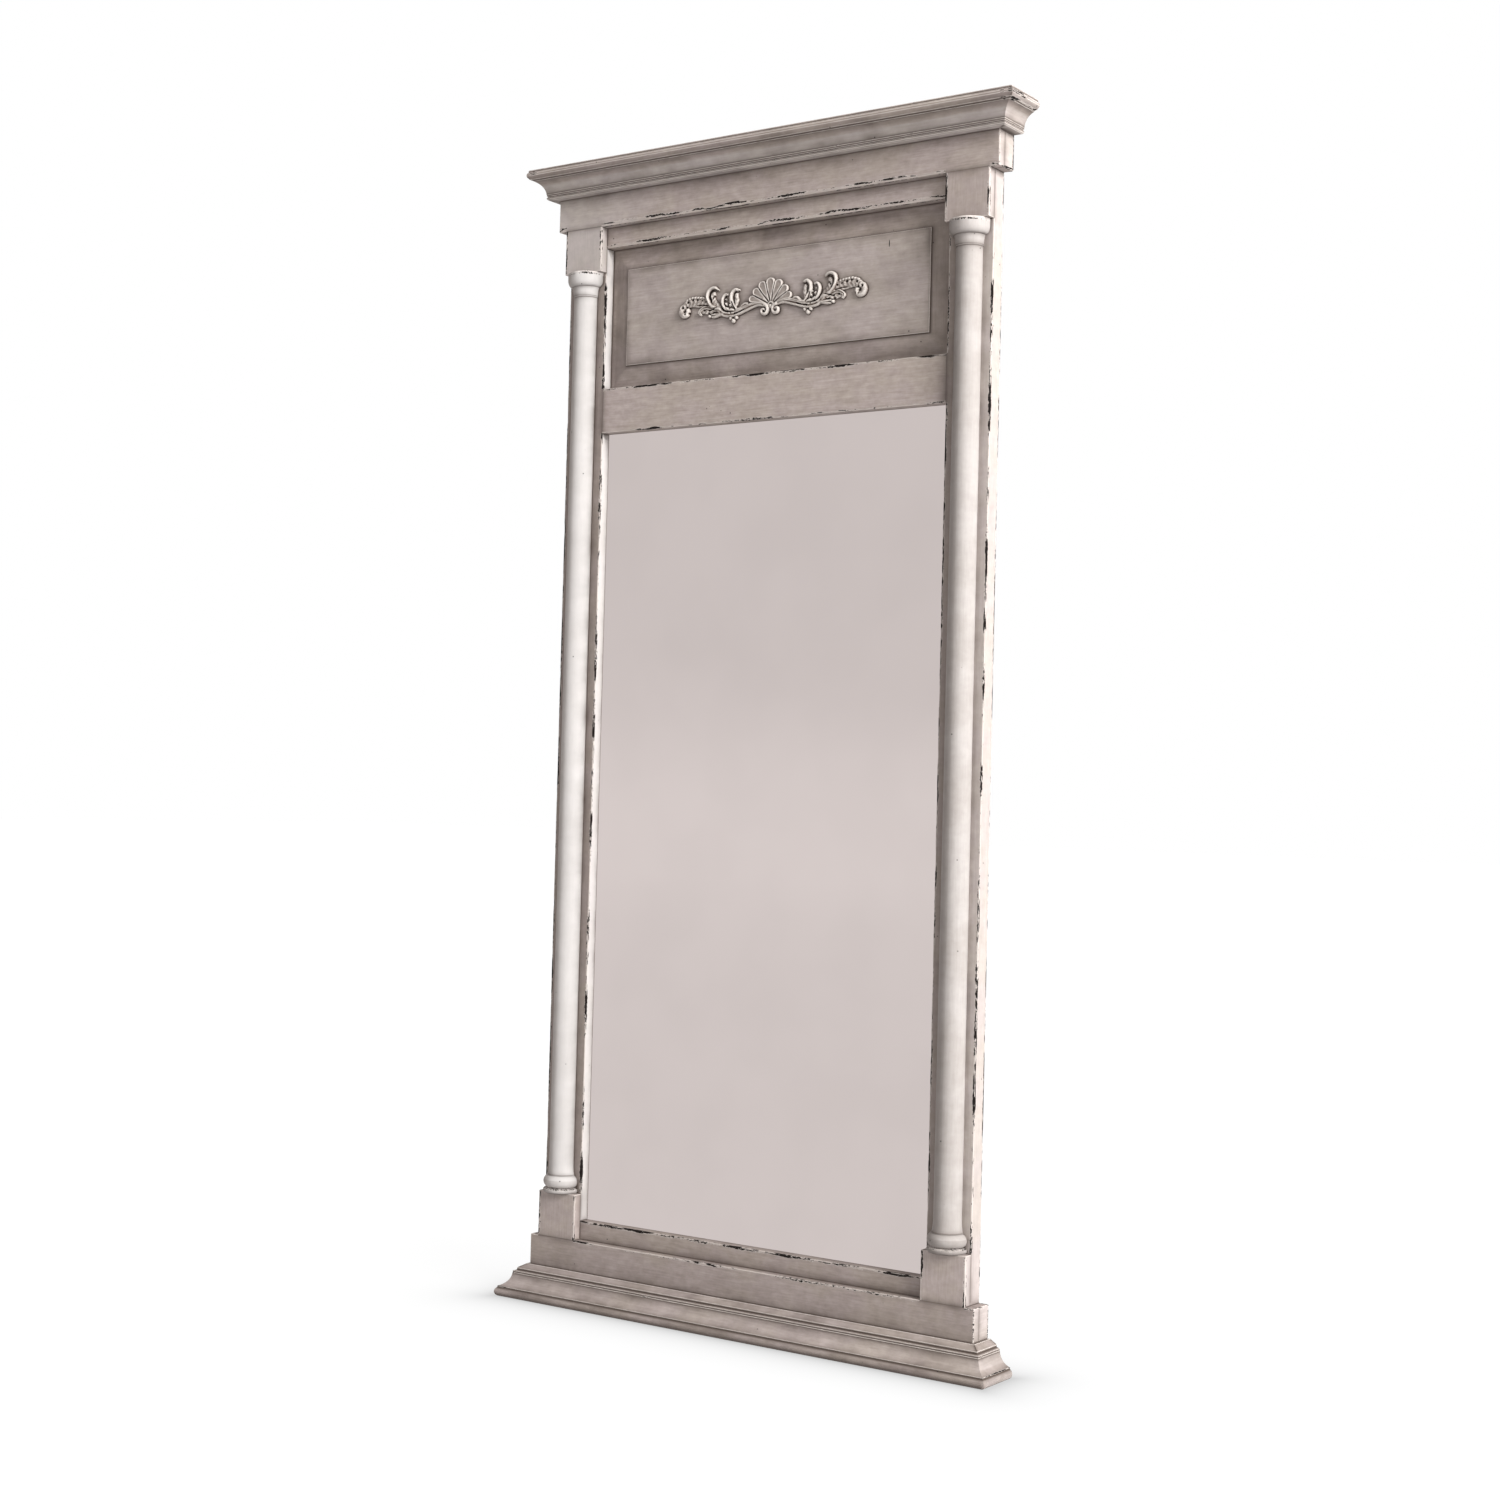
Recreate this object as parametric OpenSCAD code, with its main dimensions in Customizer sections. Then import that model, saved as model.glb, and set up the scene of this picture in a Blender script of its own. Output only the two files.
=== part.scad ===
// Tall floor mirror in the trumeau style: a jointed frame with half columns,
// a mitred cornice and base moulding, and a carved onlay on a raised panel.
// X runs left to right, Y from the front to the wall, Z up. The origin is on
// the floor, at the middle of the outline. Sizes are in millimetres.

/* [Frame] */
// Clear width between the two stiles
opening_w = 746; // [500:1:1000]
// Width of each stile, and of the blocks on it
stile_w = 86; // [80:1:130]
// Thickness of the stiles and of the top and bottom rails
stile_t = 32; // [30:1:45]
// Clear height of the mirror's opening
mirror_h = 1478; // [900:1:1700]
// Clear height of the raised panel's opening
panel_h = 268; // [200:1:400]
// Height of the rail between the mirror and the panel
mid_rail_h = 84; // [60:1:140]
// Strip of the bottom rail that shows above the base board
sill_h = 34; // [20:1:70]
// Strip of the top rail that shows below the frieze
header_h = 38; // [20:1:70]

/* [Joinery] */
// Thickness of the tenons
tenon_t = 10; // [6:1:12]
// Length of the tenons
tenon_l = 40; // [20:1:60]
// Distance from the frame's face to the front of a tenon
tenon_set = 6; // [4:0.5:8]
// Shoulder above and below each tenon
tenon_shoulder = 12; // [6:1:20]
// Gap round a tenon in its mortise
joint_fit = 0.2; // [0.1:0.05:0.5]
// Glue space past the end of a tenon
glue_space = 2; // [1:0.5:4]

/* [Glass and back board] */
// Thickness of the mirror glass
glass_t = 4; // [3:0.5:6]
// Thickness of the back board
back_t = 6; // [4:0.5:9]
// How far the glass and the panel reach behind the frame
glass_lap = 10; // [6:1:13]
// How far the back board reaches behind the frame
back_lap = 24; // [20:1:34]
// Gap beside and above the glass, the panel and the back board
lap_gap = 1; // [0.5:0.5:2]
// Distance of the back board's screws from the opening
screw_set = 17; // [15:1:19]
// Diameter of a back board screw's shank
screw_d = 3.8; // [3:0.1:4.5]
// Diameter of its countersunk head
screw_head_d = 8; // [7:0.1:9]
// Height of the countersunk head
screw_head_h = 2.4; // [2:0.1:3]
// Length of a back board screw
screw_l = 14; // [10:1:15]
// Gap round a screw's shank and head in the wood
screw_fit = 0.1; // [0.05:0.05:0.3]
// Screws along each side of the back board
side_screws = 6; // [4:1:10]
// Screws along each rail
rail_screws = 3; // [2:1:6]
// Distance from the corner of the openings to the nearest side screw
screw_end = 90; // [60:5:140]

/* [Raised panel] */
// Depth of the field below the frame's face
field_depth = 12; // [9:0.5:16]
// Distance from the opening to the field
field_margin = 43; // [30:1:60]
// Height of the sharp step round the field
field_step = 3; // [1:0.5:4]
// Width of the sloping bevel outside the step
bevel_w = 34; // [20:1:42]
// Thickness of the panel's tongue
tongue_t = 4; // [3:0.5:5]

/* [Applied boards] */
// Thickness of the frieze, the base board and the blocks
board_t = 18; // [12:1:25]
// How far the frieze and the base board stand out past the stiles
side_step = 17.5; // [8:0.5:25]
// Height of the frieze that shows below the cornice
frieze_h = 61; // [40:1:120]
// Height of the base board that shows above its moulding
base_board_h = 56; // [35:1:120]
// Height of the four blocks
block_h = 84; // [60:1:110]

/* [Cornice] */
// Height of the cornice moulding
cornice_h = 51; // [49:1:70]
// How far the moulding stands out from the frieze
cornice_reach = 47; // [46:1:60]
// How far its lower fillets stand out
cornice_foot = 18.5; // [14:0.5:22]
// Height of each lower fillet
fillet_h = 3.5; // [2.5:0.5:4]
// Depth and height of the fine grooves
quirk = 1.5; // [1:0.5:2.5]
// Radius of the cornice's cove
cornice_cove_r = 28; // [26:1:60]
// Height of the cornice's upper band
band_h = 13; // [9:1:16]
// Thickness of the board that closes the top
cap_t = 4; // [3:0.5:10]
// How far the top board stays behind the moulding's nose
cap_set = 3; // [1:0.5:8]

/* [Base moulding] */
// Height of the base moulding
base_h = 60; // [56:1:80]
// How far it stands out from the base board
base_reach = 47; // [46:1:60]
// Reach of its upper fillet
base_fillet_1 = 17; // [14:0.5:19]
// Reach of its second fillet
base_fillet_2 = 22.5; // [21:0.5:26]
// Radius of its cove
base_cove_r = 27; // [26:1:60]
// Radius of the rounded nose along the floor
nose_r = 9; // [7:0.5:10]

/* [Columns] */
// Diameter of the shaft at its foot
shaft_foot_d = 50; // [40:0.5:56]
// Diameter of the shaft at its neck
shaft_neck_d = 48; // [38:0.5:54]
// Distance of the column's axis in front of the stile
column_out = 4; // [2:0.5:8]
// Diameter of the capital
capital_d = 73; // [60:0.5:78]
// Height of the capital
capital_h = 27; // [26:1:44]
// Height of the neck between the capital and the ring
neck_h = 17; // [14:1:40]
// Diameter of the ring on the neck
ring_d = 51; // [49:0.5:56]
// Diameter of the base torus
torus_d = 70; // [60:0.5:78]
// Height of the base torus with its disc
torus_h = 33; // [26:1:44]
// Height of the flare above the torus
flare_h = 26; // [16:1:50]

/* [Onlay] */
// Reach of the scrolls from the middle of the panel
onlay_reach = 208; // [150:1:230]
// Height of the shell above its root
shell_h = 48; // [36:1:60]
// Greatest thickness of the carving
onlay_t = 9; // [6:0.5:14]

/* [Hangers] */
// Distance from the top of the frame to the hanger's hinge
hanger_drop = 300; // [220:5:380]
// Width of the hanger's strap
strap_w = 16; // [12:0.5:19]
// Thickness of the strap
strap_t = 1.5; // [1.2:0.1:2]
// Length of the strap below the hinge
strap_l = 50; // [46:1:60]
// Distance from the frame's back to the hinge
hinge_out = 4; // [3.9:0.1:4.5]
// Diameter of the ring's wire
wire_d = 3.5; // [3:0.1:3.6]
// Gap between the wire and the strap's barrel
hinge_fit = 0.1; // [0.05:0.01:0.1]
// Clear width inside the ring
ring_in_w = 22; // [20:0.5:26]
// Straight length of the ring's sides
ring_side = 8; // [5:0.5:12]
// Distance between the two strap screws
strap_screw_gap = 12; // [10:0.5:14]
// Diameter of a strap screw's shank
strap_screw_d = 3.5; // [3:0.1:4]
// Diameter of a strap screw's head
strap_head_d = 7; // [6:0.1:8]
// Height of a strap screw's head
strap_head_h = 2.2; // [1.8:0.1:3]
// Length of a strap screw's shank in the wood
strap_screw_l = 14; // [10:1:20]

/* [Wall pads] */
// Diameter of a rubber wall pad
pad_d = 22; // [14:1:40]
// Thickness of a rubber wall pad
pad_t = 8; // [8:0.5:14]
// Distance of the pads from the top and bottom of the frame
pad_end = 60; // [30:1:120]

/* [Hidden] */

// Colours as the object shows them
paint = "#aba19a";
paint_light = "#c4bab3";
carving = "#d9d0c6";
silver = "#d0c8c6";
board_brown = "#7d5f45";
steel = "#b9b9b4";
rubber = "#2c2a29";

// Smoothness of turned pieces and of round hardware
turned_fn = 96;
round_fn = 48;
// How far a cutter runs past the face that it opens
past = 1;

// Heights, from the floor up
z_board = base_h;
z_sill = z_board + base_board_h;
z_mirror = z_sill + sill_h;
z_mid = z_mirror + mirror_h;
z_panel = z_mid + mid_rail_h;
z_head = z_panel + panel_h;
z_frieze = z_head + header_h;
z_cornice = z_frieze + frieze_h;
z_cap = z_cornice + cornice_h;
z_top = z_cap + cap_t;
z_column = z_sill + block_h;
column_h = z_frieze - block_h - z_column;
z_hinge = z_cap - hanger_drop;
z_field = (z_panel + z_head) / 2;

// Depths, from the front to the wall
reach = max(cornice_reach, base_reach);
depth = reach + board_t + stile_t + pad_t;
y_front = reach - depth / 2;
y_face = y_front + board_t;
y_back = y_face + stile_t;
y_board = y_back - back_t;
y_glass = y_board - glass_t;
y_tongue = y_board - tongue_t;
y_field = y_face + field_depth;
y_hinge = y_back + hinge_out;

// Widths, from the middle out
x_open = opening_w / 2;
x_stile = x_open + stile_w;
x_board = x_stile + side_step;
x_axis = x_open + stile_w / 2;
ring_r = ring_in_w / 2 + wire_d / 2;

// Where the back board is screwed on, as points on the frame's back
function spaced(a, b, n, i) = a + (b - a) * i / (n - 1);
z_screw_low = z_mirror + screw_end;
z_screw_high = z_head - screw_end;
x_screw_end = x_open - 2 * screw_end;
screw_rows = [z_mirror - screw_set, (z_mid + z_panel) / 2, z_head + screw_set];
board_screws = concat(
    [for (side = [-1, 1], i = [0 : side_screws - 1])
        [side * (x_open + screw_set), spaced(z_screw_low, z_screw_high, side_screws, i)]],
    [for (z = screw_rows, i = [0 : rail_screws - 1])
        [spaced(-x_screw_end, x_screw_end, rail_screws, i), z]]);
strap_screw_z = [z_hinge - strap_l + strap_head_d,
                 z_hinge - strap_l + strap_head_d + strap_screw_gap];

function unit(v) = v / norm(v);

// A box from its lowest corner to its highest
module block(low, high) {
    translate(low) cube(high - low);
}

// A round bar along Y, from y0 to y1
module bar_y(x, z, y0, y1, r0, r1) {
    translate([x, y0, z]) rotate([-90, 0, 0]) cylinder(h = y1 - y0, r1 = r0, r2 = r1, $fn = round_fn);
}

// The frame's joinery

module glass_pocket() {
    reach_x = x_open + glass_lap + lap_gap;
    block([-reach_x, y_glass, z_mirror - glass_lap], [reach_x, y_board, z_mid + glass_lap + lap_gap]);
}

module panel_pocket() {
    reach_x = x_open + glass_lap + lap_gap;
    block([-reach_x, y_tongue, z_panel - glass_lap], [reach_x, y_board, z_head + glass_lap + lap_gap]);
}

module back_pocket() {
    reach_x = x_open + back_lap + lap_gap;
    block([-reach_x, y_board, z_mirror - back_lap],
          [reach_x, y_back + past, z_head + back_lap + lap_gap]);
}

// Holes for the back board's screws, opened by the gap round them
module board_screw_holes() {
    for (p = board_screws)
        bar_y(p[0], p[1], y_back - screw_l - screw_fit, y_back + past,
              screw_d / 2 + screw_fit, screw_d / 2 + screw_fit);
}

// The tenons of a rail that runs from z0 to z1, with gap more all round
module tenons(z0, z1, gap, extra) {
    for (side = [-1, 1])
        scale([side, 1, 1])
            block([x_open - extra, y_face + tenon_set - gap, z0 + tenon_shoulder - gap],
                  [x_open + tenon_l + (gap > 0 ? glue_space : 0),
                   y_face + tenon_set + tenon_t + gap, z1 - tenon_shoulder + gap]);
}

module stile(side) {
    color(paint) difference() {
        translate([side > 0 ? x_open : -x_stile, y_face, 0]) cube([stile_w, stile_t, z_cap]);
        glass_pocket();
        panel_pocket();
        back_pocket();
        tenons(0, z_mirror, joint_fit, past);
        tenons(z_mid, z_panel, joint_fit, past);
        tenons(z_head, z_cap, joint_fit, past);
        board_screw_holes();
        for (z = strap_screw_z)
            bar_y(side * x_axis, z, y_back - strap_screw_l - screw_fit, y_back + past,
                  strap_screw_d / 2 + screw_fit, strap_screw_d / 2 + screw_fit);
    }
}

module rail(z0, z1, back) {
    color(paint) difference() {
        union() {
            block([-x_open, y_face, z0], [x_open, back, z1]);
            tenons(z0, z1, 0, past);
        }
        glass_pocket();
        panel_pocket();
        back_pocket();
        board_screw_holes();
    }
}

module stile_left() { stile(-1); }
module stile_right() { stile(1); }
module top_rail() { rail(z_head, z_cap, y_back); }
module mid_rail() { rail(z_mid, z_panel, y_board); }
module bottom_rail() { rail(0, z_mirror, y_back); }

// The boards and blocks glued to the frame's face

// A side board behind the end of a front board
module side_board(side, z0, z1) {
    color(paint) translate([side > 0 ? x_stile : -x_board, y_face, z0])
        cube([side_step, stile_t, z1 - z0]);
}

module frieze_board() { color(paint) block([-x_board, y_front, z_frieze], [x_board, y_face, z_cap]); }
module frieze_return_left() { side_board(-1, z_frieze, z_cap); }
module frieze_return_right() { side_board(1, z_frieze, z_cap); }
module base_board() { color(paint) block([-x_board, y_front, 0], [x_board, y_face, z_sill]); }
module base_return_left() { side_board(-1, 0, z_sill); }
module base_return_right() { side_board(1, 0, z_sill); }

module stile_block(side, z0) {
    color(paint) translate([side > 0 ? x_open : -x_stile, y_front, z0])
        cube([stile_w, board_t, block_h]);
}

module upper_block_left() { stile_block(-1, z_frieze - block_h); }
module upper_block_right() { stile_block(1, z_frieze - block_h); }
module lower_block_left() { stile_block(-1, z_sill); }
module lower_block_right() { stile_block(1, z_sill); }

// The turned half columns

// Points on an arc of a circle in a profile
function arc(centre, r, a0, a1, n) =
    [for (i = [0 : n]) centre + r * [cos(a0 + (a1 - a0) * i / n), sin(a0 + (a1 - a0) * i / n)]];

// Points on a bowl from p to q, level at p and upright at q
function bowl(p, q, n) =
    [for (i = [0 : n]) let (a = 90 * i / n) [p[0] + (q[0] - p[0]) * sin(a), p[1] + (q[1] - p[1]) * (1 - cos(a))]];

// Points on a hollow from p to q, flat along the height at q
function hollow(p, q, n) =
    [for (i = [0 : n]) let (a = 90 * i / n) [q[0] + (p[0] - q[0]) * (1 - sin(a)), q[1] + (p[1] - q[1]) * cos(a)]];

// The rounded disc under the torus, the ring on the neck and the capital's upright rim
disc_h = 9;
disc_out = 0.5;
disc_r = torus_d / 2 + disc_out;
torus_r = (torus_h - disc_h) / 2;
flare_out = 3.5;
foot_r = shaft_foot_d / 2;
neck_r = shaft_neck_d / 2;
neck_out = 3;
ring_h = 3;
rim_h = 13;
rim_chamfer = 1.2;
rim_r = capital_d / 2;
capital_z = column_h - capital_h;
ring_z = capital_z - neck_h;

// The turned outline, as radius and height above the lower block
column_outline = concat(
    [[0, 0]],
    arc([disc_r - disc_h / 2, disc_h / 2], disc_h / 2, -90, 75, 6),
    arc([torus_d / 2 - torus_r, disc_h + torus_r], torus_r, -80, 80, 12),
    hollow([foot_r + flare_out, torus_h], [foot_r, torus_h + flare_h], 6),
    [[neck_r, ring_z - ring_h], [ring_d / 2, ring_z - ring_h / 2], [neck_r + neck_out / 3, ring_z],
     [neck_r + neck_out * 0.6, capital_z - neck_h / 2], [neck_r + neck_out, capital_z]],
    bowl([neck_r + neck_out + 1, capital_z], [rim_r, column_h - rim_h], 7),
    [[rim_r, column_h - rim_chamfer], [rim_r - rim_chamfer, column_h], [0, column_h]]);

module column(side) {
    x = side * x_axis;
    color(paint_light) difference() {
        translate([x, y_face - column_out, z_column])
            rotate_extrude($fn = turned_fn) polygon(column_outline);
        block([x - capital_d, y_face, 0], [x + capital_d, y_face + capital_d, z_cap]);
    }
}

module column_left() { column(-1); }
module column_right() { column(1); }

// The mitred mouldings

// The centre of a circle of radius r through a and b, on the right of a to b
function arc_centre(a, b, r) =
    let (m = (a + b) / 2, h = norm(b - a) / 2, t = unit(b - a))
    m + [t[1], -t[0]] * sqrt(r * r - h * h);

// How far a cove starts outside the fillet beside it
cove_set = 0.5;

// What is cut away in section for a cove that starts at a, on a level face, and
// ends at b, on an upright one
module cove(a, b, centre, r) {
    intersection() {
        translate(centre) circle(r, $fn = turned_fn);
        translate([0, min(a[1], b[1]) - past]) square([b[0] + past, abs(b[1] - a[1]) + 2 * past]);
    }
}

// The chamfer under the cornice, and the roll and step of its upper band
foot_chamfer = 2;
band_roll = 3;
band_step = 10;

// The cornice in section, as reach from the frieze and height
module cornice_section() {
    foot = cornice_foot;
    nose = cornice_reach;
    z_groove = foot_chamfer + fillet_h;
    z_cove = z_groove + quirk + fillet_h;
    z_band = cornice_h - band_h;
    a = [foot + cove_set, z_cove];
    b = [nose - band_step, z_band - 2 * quirk];
    polygon([[0, 0], [foot - foot_chamfer - quirk / 2, 0], [foot, foot_chamfer],
             [foot, z_groove], [foot - quirk, z_groove], [foot - quirk, z_groove + quirk],
             [foot, z_groove + quirk], [foot, z_cove + past], [0, z_cove + past]]);
    difference() {
        polygon([[0, z_cove], [b[0], z_cove], [b[0], z_band - quirk],
                 [b[0] + band_step / 2, z_band - quirk / 2], [nose - band_roll / 2, z_band + band_roll],
                 [nose, z_band + 2 * band_roll], [nose - quirk / 3, cornice_h - band_roll],
                 [nose - band_roll, cornice_h], [0, cornice_h]]);
        cove(a, b, arc_centre(a, b, cornice_cove_r), cornice_cove_r);
    }
}

// The base moulding's height above its cove, the step behind its nose, how far
// the round of the nose is cut flat on the floor, and the reach of its top edge
base_head_h = 16.5;
nose_step = 4.5;
nose_flat = 0.5;
base_crown = 5;

// The base moulding in section, as reach from the base board and height
module base_section() {
    nose = [base_reach - nose_r, nose_r - nose_flat];
    z_cove = base_h - base_head_h;
    z_2 = z_cove + fillet_h;
    z_1 = z_2 + fillet_h + quirk;
    a = [base_fillet_2 + cove_set, z_cove];
    b = [base_reach - nose_step, nose[1] + nose_r + quirk];
    polygon([[0, z_cove - past], [base_fillet_2, z_cove - past], [base_fillet_2, z_2],
             [base_fillet_2 - quirk, z_2 + quirk / 3], [base_fillet_1, z_2 + quirk],
             [base_fillet_1, z_1], [base_fillet_1 - quirk, z_1 + quirk],
             [base_crown + quirk / 2, base_h - quirk / 2], [base_crown, base_h], [0, base_h]]);
    difference() {
        union() {
            polygon([[0, -past], [nose[0], -past], nose, [b[0], nose[1]], [b[0], z_cove], [0, z_cove]]);
            translate(nose) circle(nose_r, $fn = turned_fn);
        }
        translate([-past, -2 * nose_r]) square([base_reach + 2 * past, 2 * nose_r]);
        cove(a, b, arc_centre(b, a, base_cove_r), base_cove_r);
    }
}

// A length of moulding along the front, mitred at both ends
module front_moulding(nose, z0, h) {
    intersection() {
        translate([-x_board - nose, y_front, z0])
            rotate([90, 0, 90]) linear_extrude(2 * (x_board + nose)) mirror([1, 0]) children();
        translate([0, 0, z0 - past]) linear_extrude(h + 2 * past)
            polygon([[-x_board, y_front], [-x_board - 2 * nose, y_front - 2 * nose],
                     [x_board + 2 * nose, y_front - 2 * nose], [x_board, y_front]]);
    }
}

// A length of moulding along one side, mitred at its front end
module side_moulding(side, nose, z0, h) {
    scale([side, 1, 1]) intersection() {
        translate([x_board, y_back, z0])
            rotate([90, 0, 0]) linear_extrude(y_back - y_front + nose) children();
        translate([0, 0, z0 - past]) linear_extrude(h + 2 * past)
            polygon([[x_board, y_front], [x_board + 2 * nose, y_front - 2 * nose],
                     [x_board + 2 * nose, y_back], [x_board, y_back]]);
    }
}

module cornice_front() {
    color(paint) front_moulding(cornice_reach, z_cornice, cornice_h) cornice_section();
}
module cornice_left() {
    color(paint) side_moulding(-1, cornice_reach, z_cornice, cornice_h) cornice_section();
}
module cornice_right() {
    color(paint) side_moulding(1, cornice_reach, z_cornice, cornice_h) cornice_section();
}
module cornice_cap() {
    lip = cornice_reach - cap_set;
    color(paint) block([-x_board - lip, y_front - lip, z_cap], [x_board + lip, y_back, z_top]);
}
module base_moulding_front() {
    color(paint) front_moulding(base_reach, 0, base_h) base_section();
}
module base_moulding_left() {
    color(paint) side_moulding(-1, base_reach, 0, base_h) base_section();
}
module base_moulding_right() {
    color(paint) side_moulding(1, base_reach, 0, base_h) base_section();
}

// The raised and fielded panel

// Half of the panel's section: distance from the middle and depth in Y
module fielded_section(half, clear) {
    edge = clear - field_margin;
    polygon([[-half, y_board], [-half, y_tongue], [-edge - bevel_w, y_tongue],
             [-edge, y_field + field_step], [-edge, y_field],
             [edge, y_field], [edge, y_field + field_step],
             [edge + bevel_w, y_tongue], [half, y_tongue], [half, y_board]]);
}

module raised_panel() {
    half_x = x_open + glass_lap;
    half_z = panel_h / 2 + glass_lap;
    color(paint) intersection() {
        translate([0, 0, z_field - half_z]) linear_extrude(2 * half_z)
            fielded_section(half_x, x_open);
        translate([-half_x, 0, z_field]) rotate([90, 90, 90]) linear_extrude(2 * half_x)
            fielded_section(half_z, panel_h / 2);
    }
}

// The carved onlay. Its places are reach and height from the middle of the
// panel, drawn for a reach of 208 mm and scaled with onlay_reach.

stretch = onlay_reach / 208;
lift = onlay_t / 9;

function heading(p, i) = unit(p[min(i + 1, len(p) - 1)] - p[max(i - 1, 0)]);

// A smooth line through the points of p, with n steps from each to the next
function through(p, n) = concat(
    [for (i = [0 : len(p) - 2], k = [0 : n - 1])
        let (a = p[max(i - 1, 0)], b = p[i], c = p[i + 1], d = p[min(i + 2, len(p) - 1)], t = k / n)
        0.5 * (2 * b + (c - a) * t + (2 * a - 5 * b + 4 * c - d) * t * t
               + (3 * b - a - 3 * c + d) * t * t * t)],
    [p[len(p) - 1]]);

// A spiral round a centre, from radius r0 at angle a0 to r1 at a1
function spiral(centre, r0, r1, a0, a1, n) =
    [for (i = [0 : n]) let (f = i / n, a = a0 + (a1 - a0) * f, r = r0 + (r1 - r0) * f)
        centre + r * [cos(a), sin(a)]];

// A value that swells from a to b at the middle and falls to c
function swell(a, b, c, f) = f < 0.5 ? a + (b - a) * sin(180 * f) : c + (b - c) * sin(180 * f);

// A carved member that reaches behind the field, to be cut flat there. It follows
// path; half widths w and heights h go from start through middle to end.
module carved(path, w, h) {
    sides = 8;
    last = len(path) - 1;
    per = sides + 3;
    points = [for (i = [0 : last]) let (
                  f = i / last, t = heading(path, i), hw = swell(w[0], w[1], w[2], f) * stretch,
                  ht = swell(h[0], h[1], h[2], f) * lift, c = path[i] * stretch)
              for (k = [-1 : sides + 1]) let (
                  a = 180 * min(max(k, 0), sides) / sides, y = k < 0 || k > sides ? past : -ht * sin(a))
              [c[0] - t[1] * hw * cos(a), y_field + y, z_field + c[1] + t[0] * hw * cos(a)]];
    faces = concat(
        [for (i = [0 : last - 1], k = [0 : per - 1]) let (a = i * per + k, b = i * per + (k + 1) % per)
            [a, a + per, b + per, b]],
        [[for (k = [0 : per - 1]) k]],
        [[for (k = [per - 1 : -1 : 0]) last * per + k]]);
    polyhedron(points, faces, convexity = 6);
}

// Cuts the carving's back flat on the field
module on_field() {
    intersection() {
        union() children();
        block([-x_open, y_front, z_panel], [x_open, y_field, z_head]);
    }
}

// The shell's root, and its flutes as angle, length over shell_h and half width
shell_root = [0, -10];
flutes = [[-79, 1.08, 6.5], [-55, 1, 8], [-29, 0.94, 8.5], [0, 1, 9],
          [29, 0.94, 8.5], [55, 1, 8], [79, 1.08, 6.5]];
// Gap between the shell and the scrolls beside it
seam = 0.3;

// The shell's flutes, rounded at their tips, and the boss at their root, all
// larger by gap
module shell(gap) {
    for (f = flutes) {
        way = [sin(f[0]), cos(f[0])];
        length = shell_h * f[1] + gap;
        carved([for (s = [0.12, 0.4, 0.65, 0.85, 0.95, 1]) shell_root + way * length * s],
               [2 + gap, f[2] + gap, 1.5 + gap], [4 + gap, 8 + gap, 2 + gap]);
    }
    carved([[-6 - gap, -8], [0, -11], [6 + gap, -8]], [3 + gap, 6 + gap, 3 + gap],
           [4 + gap, 7 + gap, 4 + gap]);
}

module shell_onlay() {
    color(carving) on_field() shell(0);
}

module scroll() {
    // Stem from the shell's root, out over the arched tail
    carved(through([[15, -16], [34, -11], [56, -17], [80, -25], [104, -19], [121, -5],
                    [141, 6], [163, 9], [184, 6], [197, -3]], 3), [4, 8.5, 7], [7, 8, 7]);
    // Curl under the shell
    carved(spiral([12.5, -26.5], 10.5, 2, 78, 78 + 400, 20), [3.6, 3.4, 2], [6, 8, 9]);
    // Curl at the end of the tail
    carved(spiral([193.5, -10], 10.5, 3, 50, 50 - 330, 16), [5.5, 4.4, 3], [7, 7.5, 8]);
    // Leaves above the stem
    carved(through([[112, -14], [124, 2], [132, 18], [130, 29], [122, 32], [118, 25]], 3),
           [5, 7, 2], [5, 9, 5]);
    carved(through([[88, -20], [89, -2], [86, 13], [78, 19], [71, 13], [74, 6]], 3),
           [4, 5.5, 2], [5, 8, 5]);
    carved(through([[98, -18], [104, -4], [101, 12]], 4), [4, 5, 1.5], [5, 7, 3]);
    // Leaves and bud below the stem
    carved(through([[116, -14], [128, -20], [141, -22]], 4), [4, 5, 1.5], [5, 6, 3]);
    carved(through([[134, -4], [150, -12], [163, -16]], 4), [4, 5.5, 1.5], [5, 6, 3]);
    carved([[81, -27], [81, -33], [80, -38], [80, -41]], [3, 5, 1.5], [4, 6, 3]);
}

// The scroll on one side, cut back where the shell lies over its stem
module scroll_onlay(side) {
    color(carving) scale([side, 1, 1]) difference() {
        on_field() scroll();
        shell(seam);
    }
}

module scroll_onlay_right() { scroll_onlay(1); }
module scroll_onlay_left() { scroll_onlay(-1); }

// The glass and what closes the back

module mirror_glass() {
    reach_x = x_open + glass_lap;
    color(silver)
        block([-reach_x, y_glass, z_mirror - glass_lap], [reach_x, y_board, z_mid + glass_lap]);
}

module back_board() {
    reach_x = x_open + back_lap;
    color(board_brown) difference() {
        block([-reach_x, y_board, z_mirror - back_lap], [reach_x, y_back, z_head + back_lap]);
        for (p = board_screws) {
            bar_y(p[0], p[1], y_board - past, y_back + past,
                  screw_d / 2 + screw_fit, screw_d / 2 + screw_fit);
            bar_y(p[0], p[1], y_back - screw_head_h, y_back,
                  screw_d / 2 + screw_fit, screw_head_d / 2 + screw_fit);
        }
    }
}

module back_board_screws() {
    color(steel) for (p = board_screws) {
        bar_y(p[0], p[1], y_back - screw_l, y_back, screw_d / 2, screw_d / 2);
        bar_y(p[0], p[1], y_back - screw_head_h, y_back, screw_d / 2, screw_head_d / 2);
    }
}

// The hangers, with rings that hang below their hinges

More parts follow.
